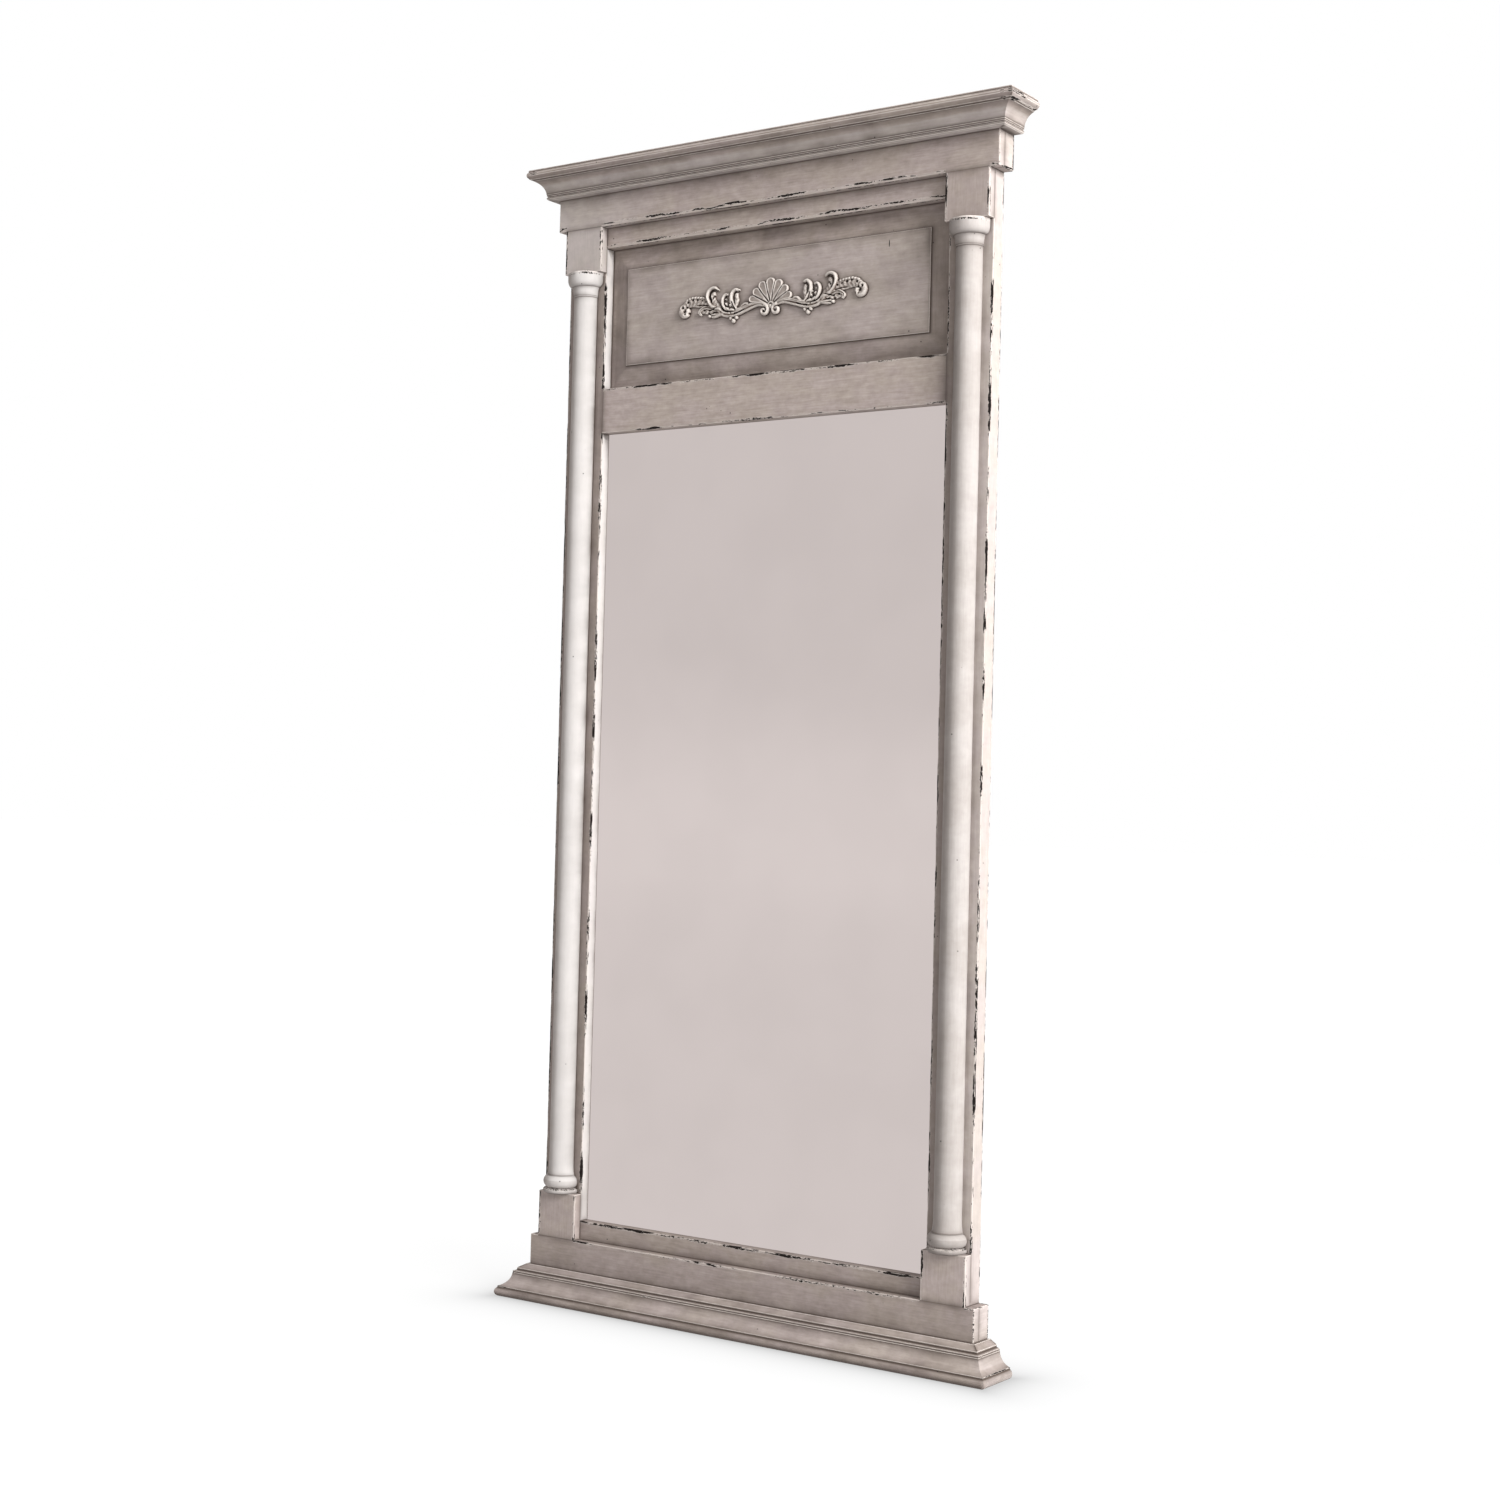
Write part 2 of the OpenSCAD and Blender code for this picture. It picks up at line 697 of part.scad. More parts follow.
module hanger_strap(side) {
    barrel_r = wire_d / 2 + hinge_fit + strap_t;
    color(steel) difference() {
        union() {
            block([side * x_axis - strap_w / 2, y_back, z_hinge - strap_l],
                  [side * x_axis + strap_w / 2, y_back + strap_t, z_hinge]);
            translate([side * x_axis - strap_w / 2, y_hinge, z_hinge])
                rotate([0, 90, 0]) cylinder(h = strap_w, r = barrel_r, $fn = round_fn);
        }
        translate([side * x_axis - strap_w / 2 - past, y_hinge, z_hinge])
            rotate([0, 90, 0])
                cylinder(h = strap_w + 2 * past, r = wire_d / 2 + hinge_fit, $fn = round_fn);
        for (z = strap_screw_z)
            bar_y(side * x_axis, z, y_back - past, y_back + strap_t + past,
                  strap_screw_d / 2 + screw_fit, strap_screw_d / 2 + screw_fit);
    }
}

module hanger_ring(side) {
    color(steel) translate([side * x_axis, y_hinge, z_hinge]) {
        translate([-ring_r, 0, 0]) rotate([0, 90, 0]) cylinder(h = 2 * ring_r, d = wire_d, $fn = round_fn);
        for (end = [-1, 1]) translate([end * ring_r, 0, 0]) {
            sphere(d = wire_d, $fn = round_fn);
            translate([0, 0, -ring_side]) cylinder(h = ring_side, d = wire_d, $fn = round_fn);
        }
        translate([0, 0, -ring_side]) rotate([-90, 0, 0])
            rotate_extrude(angle = 180, $fn = turned_fn) translate([ring_r, 0]) circle(d = wire_d, $fn = round_fn);
    }
}

module hanger_strap_left() { hanger_strap(-1); }
module hanger_strap_right() { hanger_strap(1); }
module hanger_ring_left() { hanger_ring(-1); }
module hanger_ring_right() { hanger_ring(1); }

module hanger_screws() {
    color(steel) for (side = [-1, 1], z = strap_screw_z) {
        bar_y(side * x_axis, z, y_back - strap_screw_l, y_back + strap_t, strap_screw_d / 2, strap_screw_d / 2);
        bar_y(side * x_axis, z, y_back + strap_t, y_back + strap_t + strap_head_h,
              strap_head_d / 2, strap_head_d / 2 - 1);
    }
}

module wall_pads() {
    color(rubber) for (side = [-1, 1], z = [pad_end, z_cap - pad_end])
        bar_y(side * x_axis, z, y_back, y_back + pad_t, pad_d / 2, pad_d / 2 - 1);
}

stile_left();
stile_right();
top_rail();
mid_rail();
bottom_rail();
frieze_board();
frieze_return_left();
frieze_return_right();
base_board();
base_return_left();
base_return_right();
upper_block_left();
upper_block_right();
lower_block_left();
lower_block_right();
column_left();
column_right();
cornice_front();
cornice_left();
cornice_right();
cornice_cap();
base_moulding_front();
base_moulding_left();
base_moulding_right();
raised_panel();
shell_onlay();
scroll_onlay_left();
scroll_onlay_right();
mirror_glass();
back_board();
back_board_screws();
hanger_strap_left();
hanger_strap_right();
hanger_screws();
hanger_ring_left();
hanger_ring_right();
wall_pads();
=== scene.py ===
import math
from collections import namedtuple
from functools import partialmethod

import bmesh
import bpy
import numpy as np
from bpy.props import FloatProperty, FloatVectorProperty, IntProperty, PointerProperty
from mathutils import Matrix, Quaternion, Vector
from mathutils.kdtree import KDTree


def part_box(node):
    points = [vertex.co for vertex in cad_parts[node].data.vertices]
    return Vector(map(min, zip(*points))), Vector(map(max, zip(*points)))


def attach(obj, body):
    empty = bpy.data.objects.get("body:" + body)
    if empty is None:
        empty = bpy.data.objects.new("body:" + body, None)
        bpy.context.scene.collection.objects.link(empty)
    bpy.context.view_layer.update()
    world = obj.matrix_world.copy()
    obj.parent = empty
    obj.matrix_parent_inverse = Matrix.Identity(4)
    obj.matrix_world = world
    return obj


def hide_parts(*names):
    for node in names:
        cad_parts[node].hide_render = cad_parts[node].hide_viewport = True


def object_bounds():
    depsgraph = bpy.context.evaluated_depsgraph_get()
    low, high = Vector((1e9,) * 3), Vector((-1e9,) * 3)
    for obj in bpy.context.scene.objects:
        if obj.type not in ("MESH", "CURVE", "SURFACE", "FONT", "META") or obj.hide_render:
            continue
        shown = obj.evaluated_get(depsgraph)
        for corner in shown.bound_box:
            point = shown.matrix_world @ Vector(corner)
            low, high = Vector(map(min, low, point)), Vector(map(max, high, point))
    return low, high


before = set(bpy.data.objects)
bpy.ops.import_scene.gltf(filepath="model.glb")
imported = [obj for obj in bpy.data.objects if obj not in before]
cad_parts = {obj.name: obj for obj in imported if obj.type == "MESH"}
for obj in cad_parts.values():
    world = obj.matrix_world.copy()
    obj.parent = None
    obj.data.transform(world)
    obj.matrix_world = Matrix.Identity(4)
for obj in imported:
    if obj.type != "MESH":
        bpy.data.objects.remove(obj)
cad_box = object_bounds()

bl_info = {
    "name": "Floor mirror finishes",
    "version": (1, 0, 0),
    "blender": (4, 5, 0),
    "location": "3D View > Sidebar > Mirror",
    "description": "Paints, wears and carves the pieces of a packed floor mirror, and lights them",
    "category": "Object",
}

MM = 0.001
NO_LINE = 40.0  # mm, stands for no arris or crease nearby
DOUBLES = 1e-6  # m, points nearer together than this are one

BOARDS = ("stile_left", "stile_right", "top_rail", "mid_rail", "bottom_rail", "frieze_board",
          "frieze_return_left", "frieze_return_right", "base_board", "base_return_left",
          "base_return_right", "upper_block_left", "upper_block_right", "lower_block_left",
          "lower_block_right", "cornice_cap")
COLUMNS = ("column_left", "column_right")
UPRIGHT = ("stile_left", "stile_right", "upper_block_left", "upper_block_right",
           "lower_block_left", "lower_block_right")
RAILS = ("top_rail", "mid_rail", "bottom_rail")
MOULDINGS = ("cornice_front", "cornice_left", "cornice_right",
             "base_moulding_front", "base_moulding_left", "base_moulding_right")

opening_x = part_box("stile_right")[0].x
face_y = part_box("stile_right")[0].y
glass_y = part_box("mirror_glass")[0].y
field_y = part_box("raised_panel")[0].y
panel_middle = (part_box("raised_panel")[0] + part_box("raised_panel")[1]) / 2


# Sizes and colours that a user would change

def length(name, description, value):
    return FloatProperty(name=name, description=description, default=value * MM, unit="LENGTH",
                         precision=4)


def share(name, description, value, top=1.0):
    return FloatProperty(name=name, description=description, default=value, min=0, max=top)


def colour(name, description, value):
    return FloatVectorProperty(name=name, description=description, default=value, size=3,
                               subtype="COLOR", min=0, max=1)


def angle(name, description, degrees):
    return FloatProperty(name=name, description=description, default=math.radians(degrees),
                         subtype="ANGLE")


class WearSettings(bpy.types.PropertyGroup):
    radius: length("Arris radius", "Rounding of the boards' arrises", 0.7)
    fine_radius: length("Fine arris radius", "Rounding of the mouldings' arrises", 0.4)
    wander: length("Wander", "How much the rounding varies along an arris", 0.5)
    chip: length("Chip", "How much deeper the knocked places are", 1.8)
    step: length("Step", "Distance between the cuts along a board", 8.0)
    seed: IntProperty(name="Seed", description="Which chips are made", default=11)


class PaintSettings(bpy.types.PropertyGroup):
    warm: colour("Warm greige", "The paint's yellowish patches", (0.385, 0.325, 0.288))
    cool: colour("Cool greige", "The paint's pinkish patches", (0.390, 0.326, 0.305))
    column_warm: colour("Column greige", "The columns' darker streaks", (0.362, 0.328, 0.308))
    column_pale: colour("Column white", "The columns' paler streaks", (0.398, 0.364, 0.346))
    # The glaze colour also paints shade: in corners, grooves and wherever a point's tone is below
    # 1.
    glaze: colour("Glaze", "Brown glaze left in corners and grooves", (0.060, 0.042, 0.032))
    # Cream also paints the highlight lines along the arrises.
    cream: colour("Cream", "Undercoat that shows on rubbed arrises", (0.56, 0.50, 0.46))
    bare: colour("Bare wood", "Dark wood in the chips", (0.009, 0.006, 0.005))
    wood: colour("Raw wood", "Unpainted wood of the back", (0.42, 0.285, 0.17))


class ColumnSettings(bpy.types.PropertyGroup):
    sides: IntProperty(name="Sides", description="Sides of the turned column", default=112, min=24)
    step: length("Step", "Distance between the rings of the shaft", 9.0)
    unevenness: length("Unevenness", "How far the turning strays inward", 0.35)


class CarvingSettings(bpy.types.PropertyGroup):
    grid: length("Grid", "Spacing of the relief's points", 0.55)
    # The cream is dry-brushed paint and a painted highlight on the raised parts.
    cream: colour("Carving cream", "Paint on the raised parts", (0.54, 0.488, 0.448))
    # The hollow colour is glaze and painted shade in the hollows.
    hollow: colour("Carving hollow", "Glaze in the hollows", (0.115, 0.080, 0.062))
    middle: colour("Carving middle", "Paint between the raised parts and the hollows",
                   (0.285, 0.243, 0.217))
    # The pit colour is painted shade in the deepest pits.
    pit: colour("Carving pit", "Dark wood in the deepest pits", (0.016, 0.010, 0.008))


class GlassSettings(bpy.types.PropertyGroup):
    tint: colour("Silver", "Colour of the mirror's silvering", (0.920, 0.915, 0.910))
    edge: length("Ground edge", "Width of the glass's ground edge", 0.8)


class BackSettings(bpy.types.PropertyGroup):
    board: colour("Hardboard", "Colour of the back board", (0.23, 0.135, 0.075))
    steel: colour("Zinc", "Colour of the plated steel", (0.62, 0.62, 0.60))
    rubber: colour("Rubber", "Colour of the pads", (0.022, 0.022, 0.024))
    recess: length("Recess", "Depth of the screws' cross recess", 1.1)


class StageSettings(bpy.types.PropertyGroup):
    azimuth: angle("Azimuth", "Camera's turn to the right of the mirror", 35.1176)
    elevation: angle("Elevation", "Camera's height above the level", -1.9004)
    roll: angle("Roll", "Camera's turn round its own axis", 1.4794)
    distance: length("Distance", "From the camera to the point it looks at", 4068.91)
    aim_x: length("Aim across", "The point that the camera looks at", -22.554)
    aim_z: length("Aim height", "The point that the camera looks at", 1086.07)
    lens: FloatProperty(name="Lens", description="Focal length on a 36 mm sensor", default=54.677,
                        unit="CAMERA")
    key: FloatProperty(name="Key lamp", description="Power of the large lamp at the right",
                       default=1640.0, unit="POWER")
    ambient: share("Ambient", "Strength of the even light all round", 0.50, 4.0)


# Shader and geometry trees

class Maker:
    """Adds nodes to one tree."""

    def __init__(self, tree):
        self.tree = tree

    def add(self, kind, inputs=None, output=0, **settings):
        """A new node: its settings first, then its sockets. Returns one output as a Value."""
        node = self.tree.nodes.new(kind)
        for name, value in settings.items():
            setattr(node, name, value)
        for key, value in (inputs or {}).items():
            self.plug(self.socket(node.inputs, key), value)
        return Value(self, self.socket(node.outputs, output)) if node.outputs else node

    def socket(self, sockets, key):
        """A socket by its number, its identifier or its name."""
        if isinstance(key, int):
            return sockets[key]
        return next((s for s in sockets if s.identifier == key), None) or sockets[key]

    def plug(self, socket, value):
        """Links a Value to a socket or writes a constant there. Colours have three numbers."""
        if isinstance(value, Value):
            self.tree.links.new(value.socket, socket)
        elif socket.type == "RGBA":
            socket.default_value = (*value[:3], 1.0)
        else:
            socket.default_value = value

    def mix(self, factor, first, second):
        """A colour between two others."""
        colours = {"A_Color": first, "B_Color": second, "Factor_Float": factor}
        return self.add("ShaderNodeMix", colours, "Result_Color", data_type="RGBA")


class Value:
    """A socket's number or vector, which takes part in Python sums."""

    def __init__(self, maker, socket):
        self.maker, self.socket = maker, socket

    def math(self, operation, *values):
        inputs = dict(enumerate((self, *values)))
        return self.maker.add("ShaderNodeMath", inputs, operation=operation)

    def vector(self, operation, *values, output=0):
        inputs = dict(enumerate((self, *values)))
        return self.maker.add("ShaderNodeVectorMath", inputs, output, operation=operation)

    __add__ = __radd__ = partialmethod(math, "ADD")
    __mul__ = __rmul__ = partialmethod(math, "MULTIPLY")
    __sub__ = partialmethod(math, "SUBTRACT")
    minimum = partialmethod(math, "MINIMUM")
    maximum = partialmethod(math, "MAXIMUM")

    def __rsub__(self, other):
        return self * -1.0 + other

    def clamp(self):
        return self.maximum(0.0).minimum(1.0)

    def fall(self, reach):
        """1 at zero, falling away over the reach."""
        return (self * (-1.0 / reach)).math("EXPONENT")

    def step(self, low, high):
        """A soft step from 0 at low to 1 at high; high may be the smaller."""
        inputs = {"Value": self, "From Min": low, "From Max": high}
        return self.maker.add("ShaderNodeMapRange", inputs, interpolation_type="SMOOTHSTEP")

    def by(self, factors):
        """A vector times three numbers."""
        return self.vector("MULTIPLY", factors)

    def shift(self, offset):
        """A vector plus three numbers."""
        return self.vector("ADD", offset)

    def norm(self):
        """A vector's length."""
        return self.vector("LENGTH", output="Value")


class Finish(Maker):
    """A material with one Principled shader."""

    def __init__(self, name):
        self.material = bpy.data.materials.new(name)
        self.material.use_nodes = True
        super().__init__(self.material.node_tree)
        self.shader = self.tree.nodes["Principled BSDF"]
        position = self.add("ShaderNodeTexCoord", output="Object")
        self.place = position.by((1 / MM,) * 3)

    def noise(self, stretch, detail=2.0, shift=(0.0, 0.0, 0.0), roughness=0.5):
        """Noise from 0 to 1 over the place in mm, stretched by one factor or by three."""
        factors = stretch if isinstance(stretch, tuple) else (stretch,) * 3
        where = self.place.by(factors).shift(shift)
        return self.add("ShaderNodeTexNoise",
                        {"Vector": where, "Scale": 1.0, "Detail": detail, "Roughness": roughness})

    def attribute(self, name):
        return self.add("ShaderNodeAttribute", output="Fac", attribute_name=name)

    def set(self, **sockets):
        for name, value in sockets.items():
            self.plug(self.shader.inputs[name.replace("_", " ")], value)

    def bump(self, height, distance):
        """Relief of the shader from a height of 0 to 1 over a distance in mm."""
        normal = self.add("ShaderNodeBump", {"Height": height, "Distance": distance * MM})
        self.plug(self.shader.inputs["Normal"], normal)


def dim(colour, factor):
    """A colour with each number times a factor."""
    return tuple(c * factor for c in colour)


# Materials

LEVEL_GRAIN = (0.026, 0.026, 0.34)  # stretch of the noise where the grain runs level
UPRIGHT_GRAIN = (0.34, 0.34, 0.026)
COLUMN_CHIPS = (0.10, 0.10, 0.30)
SCRATCH = (246.0, 1918.5, 1.0, 6.2)  # mm, place across and up, half width and half height
CHIP_LEVEL = 0.655  # the paint is chipped where its noise is above this
PAINT_DARK, PAINT_PALE = (0.78, 0.765, 0.75), (1.16, 1.165, 1.17)  # factors of the streaks
CLOUDED = (0.66, 0.635, 0.61)  # factors of the darker clouds
PAINTED_LIGHT = (0.78, 0.755, 0.74)  # painted light: the colour where a piece is painted palest
CHIP_REACH = 28.0, 20.0  # mm from an arris, where chips end and where they are whole
WEAR_AND_SHADE_MARKS = ("edge", "crease", "band", "chips", "tone")  # what a worn mesh's points carry; tone is painted light and shade, crease also places painted shade


def specks(finish, spacing, size, shift):
    """Sparse round dots on the paint."""
    where = finish.place.by((1 / spacing,) * 3).shift(shift)
    distance = finish.add("ShaderNodeTexVoronoi", {"Vector": where, "Scale": 1.0}, "Distance")
    some = finish.noise(0.021, 1.0, shift).step(0.50, 0.54)
    return distance.step(size / spacing, size * 0.5 / spacing) * some


def nick(finish, across, up, half_width, half_height):
    """One short upright scratch at a place on the front, given in mm."""
    offset = finish.place.shift((-across, 0.0, -up)).by((1 / half_width, 0.0, 1 / half_height))
    return offset.norm().step(1.2, 0.8)


def along(grain, run, across):
    """A grain's stretch with other factors along it and across it."""
    return tuple(run if g < 0.1 else across for g in grain)


def chipping(finish, grain, edge, band, chips):
    """How near each place is to a chip, more than 0 inside one; chips follow the arrises."""
    dashes = finish.noise(along(grain, 0.055, 0.40), 5.0, (2.0, 8.0, 1.0), 0.66)
    spots = finish.noise(along(grain, 0.15, 0.45), 4.0, (6.0, 3.0, 9.0), 0.62)
    choice = finish.noise(0.011, 1.0, (9.0, 4.0, 2.0)).step(0.44, 0.56)
    cluster = finish.noise(0.014, 2.0, (5.0, 1.0, 8.0)) - 0.5
    stray = finish.noise(0.021, 1.0, (1.0, 6.0, 2.0)) - 0.5
    off = (edge - band * (stray * 1.9 + 1.0)) * 0.5
    marks = dashes * choice + spots * (1.0 - choice)
    return marks + cluster * 0.85 + (chips - 0.5) * 0.36 - off * off * 0.11 - CHIP_LEVEL


def paint(name, grain, chip_grain, warm, cool, gloss, contrast):
    """Brushed paint over cream and dark wood, with glaze and painted shade in the creases, rubbed
    arrises with painted highlights, and painted light and shade by each point's tone.
    """
    tones = bpy.context.scene.mirror_paint
    finish = Finish(name)
    streak = finish.noise(grain, 4.0, roughness=0.62)
    broad = finish.noise(dim(grain, 0.32), 3.0, (4.0, 7.0, 2.0), 0.6)
    fine = finish.noise(dim(grain, 3.1), 3.0, (7.0, 3.0, 5.0), 0.7)
    patch = finish.noise((0.0075, 0.0075, 0.011), 3.0, (3.1, 0.0, 1.7), 0.6)
    cloud = finish.noise((0.016, 0.016, 0.021), 3.0, (0.0, 9.2, 4.0))
    mottle = finish.noise((0.055, 0.055, 0.075), 4.0, (5.0, 2.2, 8.0), 0.65)
    edge, crease, band, chips, tone = (finish.attribute(n) for n in WEAR_AND_SHADE_MARKS)

    body = finish.mix(patch.step(0.40, 0.60), warm, cool)
    light = ((streak - 0.5) * (1.5 * contrast) + (broad - 0.5) * (0.5 * contrast)
             + (mottle - 0.5) * (1.5 * contrast) + 0.5).clamp()
    body = finish.mix(light, body.by(PAINT_DARK), body.by(PAINT_PALE))
    clouded = cloud.step(0.46, 0.74) * (0.16 * contrast)
    body = finish.mix(clouded, body, body.by(CLOUDED))
    # Painted light and shade: a tone above 1 paints the paint paler, below 1 darker.
    body = finish.mix((tone - 1.0).clamp(), body, PAINTED_LIGHT)
    body = finish.mix(1.0 - tone.minimum(1.0), body, tones.glaze)

    score = chipping(finish, chip_grain, edge, band, chips)
    near_edge = edge.step(*CHIP_REACH)
    chip = score.step(0.0, 0.028) * near_edge
    halo = score.step(-0.13, 0.0) * near_edge * 0.62
    # Cream lines along the arrises: rubbed undercoat and painted highlight.
    arris = edge.step(1.9, 0.6) * (fine * 1.6 - 0.10).clamp()
    rubbed = (edge - band).step(1.0, -0.5) * (broad * 1.6 - 0.5).clamp() * 0.5

    # Glaze and painted shade: a dark line in the creases and a wider clouded shade beside them.
    line = (crease.fall(1.8) * 1.25).minimum(0.96)
    dirt = line.maximum(crease.fall(6.5) * (cloud * 1.5 - 0.15)).clamp()
    body = finish.mix(dirt, body, tones.glaze)
    body = finish.mix(arris.maximum(rubbed).maximum(halo), body, tones.cream)
    fly = specks(finish, 25.0, 1.7, (0.3, 0.1, 0.7)) * 0.85
    fly = fly.maximum(nick(finish, *SCRATCH))
    body = finish.mix(fly.maximum(chip), body, tones.bare)

    finish.set(Base_Color=body, Roughness=streak * 0.18 + gloss + chip * 0.4)
    finish.bump(streak * 0.55 + fine * 0.35 - chip * 1.5, 0.22)
    return finish.material


def raw_wood(name, grain):
    """Planed, unpainted pine of the back, with its grain along the board."""
    finish = Finish(name)
    tone = bpy.context.scene.mirror_paint.wood
    pores = finish.noise(along(grain, 0.03, 0.9), 2.0)
    rings = finish.noise(along(grain, 0.006, 0.11), 3.0, roughness=0.6)
    body = finish.mix(rings.step(0.35, 0.65), dim(tone, 0.72), tone)
    body = finish.mix(pores.step(0.55, 0.75) * 0.35, body, dim(tone, 0.45))
    finish.set(Base_Color=body, Roughness=rings * 0.2 + 0.6)
    finish.bump(pores, 0.15)
    return finish.material


def carving_paint(name):
    """Cream paint and painted highlight on the raised parts, with glaze and painted shade in the
    hollows and darker painted shade in the pits.
    """
    tones = bpy.context.scene.mirror_carving
    finish = Finish(name)
    mottle = finish.noise(0.16, 3.0)
    rough = finish.noise(0.55, 2.0, (4.0, 2.0, 6.0))
    depth = finish.attribute("hollow") + (mottle - 0.5) * 1.4 + (rough - 0.5) * 0.9
    # Painted light and shade by depth: paler on the raised parts, darker in the hollows, darkest in
    # the pits.
    pit = depth.step(0.85, 1.3)
    body = finish.mix(depth.step(-1.3, -0.1), tones.cream, tones.middle)
    body = finish.mix(depth.step(0.0, 0.8), body, tones.hollow)
    body = finish.mix(pit, body, tones.pit)
    finish.set(Base_Color=body, Roughness=rough * 0.25 + 0.42)
    finish.bump(rough + mottle - pit, 0.4)
    return finish.material


def mottled(name, first, second, stretch, limits, rough, metallic=0.0, relief=None):
    """One colour that one noise mottles; rough is the least roughness and what is added to it."""
    finish = Finish(name)
    mottle = finish.noise(stretch)
    share = mottle.step(*limits) if limits else mottle
    finish.set(Base_Color=finish.mix(share, first, second), Metallic=metallic,
               Roughness=mottle * rough[1] + rough[0])
    if relief:
        finish.bump(mottle, relief)
    return finish.material


def hardboard(name):
    """Pressed brown board with short fibres."""
    finish = Finish(name)
    tone = bpy.context.scene.mirror_back.board
    fibre = finish.noise((0.35, 0.35, 0.5), 3.0, roughness=0.65)
    cloud = finish.noise((0.008, 0.008, 0.006), 2.0, (2.0, 0.0, 3.0))
    body = finish.mix(fibre.step(0.38, 0.68), dim(tone, 0.78), tone)
    body = finish.mix(cloud.step(0.4, 0.7) * 0.3, body, dim(tone, 1.25))
    finish.set(Base_Color=body, Roughness=fibre * 0.2 + 0.55)
    finish.bump(fibre, 0.12)
    return finish.material


def plated_steel(name):
    """Zinc-plated steel with faint spangle."""
    finish = Finish(name)
    tone = bpy.context.scene.mirror_back.steel
    spangle = finish.noise(0.30)
    body = finish.mix(spangle.step(0.35, 0.7), dim(tone, 0.82), tone)
    finish.set(Base_Color=body, Metallic=1.0, Roughness=spangle * 0.25 + 0.22)
    finish.bump(finish.noise(1.4, 1.0, (3.0, 3.0, 3.0)), 0.03)
    return finish.material


materials = {}


def makers():
    """For each material the function that makes it, and what that is given besides the name."""
    scene = bpy.context.scene
    tones, silver, rubber = scene.mirror_paint, scene.mirror_glass.tint, scene.mirror_back.rubber
    return {
        "paint_level": (paint, LEVEL_GRAIN, LEVEL_GRAIN, tones.warm, tones.cool, 0.50, 1.0),
        "paint_upright": (paint, UPRIGHT_GRAIN, UPRIGHT_GRAIN, tones.warm, tones.cool, 0.50, 0.8),
        "paint_column": (paint, UPRIGHT_GRAIN, COLUMN_CHIPS, tones.column_warm, tones.column_pale,
                         0.40, 0.42),
        "raw_level": (raw_wood, LEVEL_GRAIN),
        "raw_upright": (raw_wood, UPRIGHT_GRAIN),
        "carving_paint": (carving_paint,),
        "silvered_glass": (mottled, silver, dim(silver, 0.97), 0.006, (0.3, 0.7), (0.008, 0.01),
                           1.0),
        "glass_backing": (mottled, (0.16, 0.19, 0.18), (0.22, 0.25, 0.24), 0.05, None, (0.35, 0.2)),
        "hardboard": (hardboard,),
        "plated_steel": (plated_steel,),
        "pad_rubber": (mottled, rubber, dim(rubber, 2.0), 0.4, (0.5, 0.8), (0.7, 0.2), 0.0, 0.08),
    }


def finish_of(name):
    """The named material, made when it is first asked for."""
    if name not in materials:
        maker, *given = makers()[name]
        materials[name] = maker(name, *given)
    return materials[name]


# Pieces made from a CAD node: cut finely, measured and worn

Arris = namedtuple("Arris", "start along length normals open band chips")
PROBES = 4 * MM  # distance between the points where an arris is tested for cover
LEAST_CUT = 0.25 * MM  # cuts nearer together than this are left out
ARRIS_CUTS = (0.7, 1.6, 3.0, 7.0, 14.0)  # mm, distances of the cuts from an arris
BORDER_CUTS = (-5, -2, -0.8, 0, 0.8, 2, 5)  # mm, distances of the cuts from a neighbour's border
ON_FACE = 0.02 * MM  # a point this near to a face lies on it
FACING = 0.7  # a face looks along an axis where its normal has this much of it
KNOCK_PERIOD, WEAR_PERIOD = 23 * MM, 61 * MM  # distances between knocks and between swells
KNOCK_LEVEL = 0.72  # an arris is knocked where its noise is above this
INNER_STRIP, OUTER_STRIP = 18 * MM, 60 * MM  # the stiles' strips, measured from the opening
MOULDED_CREASE, MOULDED_EDGE = 0.42, 1.7  # factors of the distances that the paint reads there
PANEL_CREASE, PANEL_EDGE = 0.55, 1.5
MITRED, MITRE_CHIPS = 26 * MM, 0.85  # ends of the mouldings that are chipped more, and how much
KNOTS = 1024  # length of the random row behind the smooth noise


def smooth_step(x):
    return x * x * (3 - 2 * x)


def arc_lengths(line):
    """The run along a line at each of its points."""
    return np.concatenate([[0], np.cumsum(np.linalg.norm(np.diff(line, axis=0), axis=1))])


def wander(places, period, seed):
    """Smooth noise from 0 to 1 along a line, one value for each place."""
    knots = np.random.default_rng(seed).random(KNOTS)
    at = places / period
    first = np.floor(at).astype(int)
    blend = smooth_step(at - first)
    return knots[first % KNOTS] * (1 - blend) + knots[(first + 1) % KNOTS] * blend


def read(items, name, width=1):
    """A value, or a row of values, of each item of a mesh."""
    values = np.empty(len(items) * width, np.float32)
    items.foreach_get(name, values)
    return values if width == 1 else values.reshape(-1, width).astype(float)


def coordinates(mesh):
    return read(mesh.vertices, "co", 3)


def move_points(mesh, points):
    mesh.vertices.foreach_set("co", points.astype(np.float32).ravel())


def attribute(mesh, name):
    return read(mesh.attributes[name].data, "value")


def set_attribute(mesh, name, values):
    layer = mesh.attributes.get(name) or mesh.attributes.new(name, "FLOAT", "POINT")
    layer.data.foreach_set("value", values.astype(np.float32))


def opened(mesh):
    """A bmesh of a mesh, with its doubles merged."""
    body = bmesh.new()
    body.from_mesh(mesh)
    bmesh.ops.remove_doubles(body, verts=body.verts, dist=DOUBLES)
    return body


def closed(body, mesh):
    """Writes a bmesh into a mesh and frees it."""
    body.to_mesh(mesh)
    body.free()
    return mesh


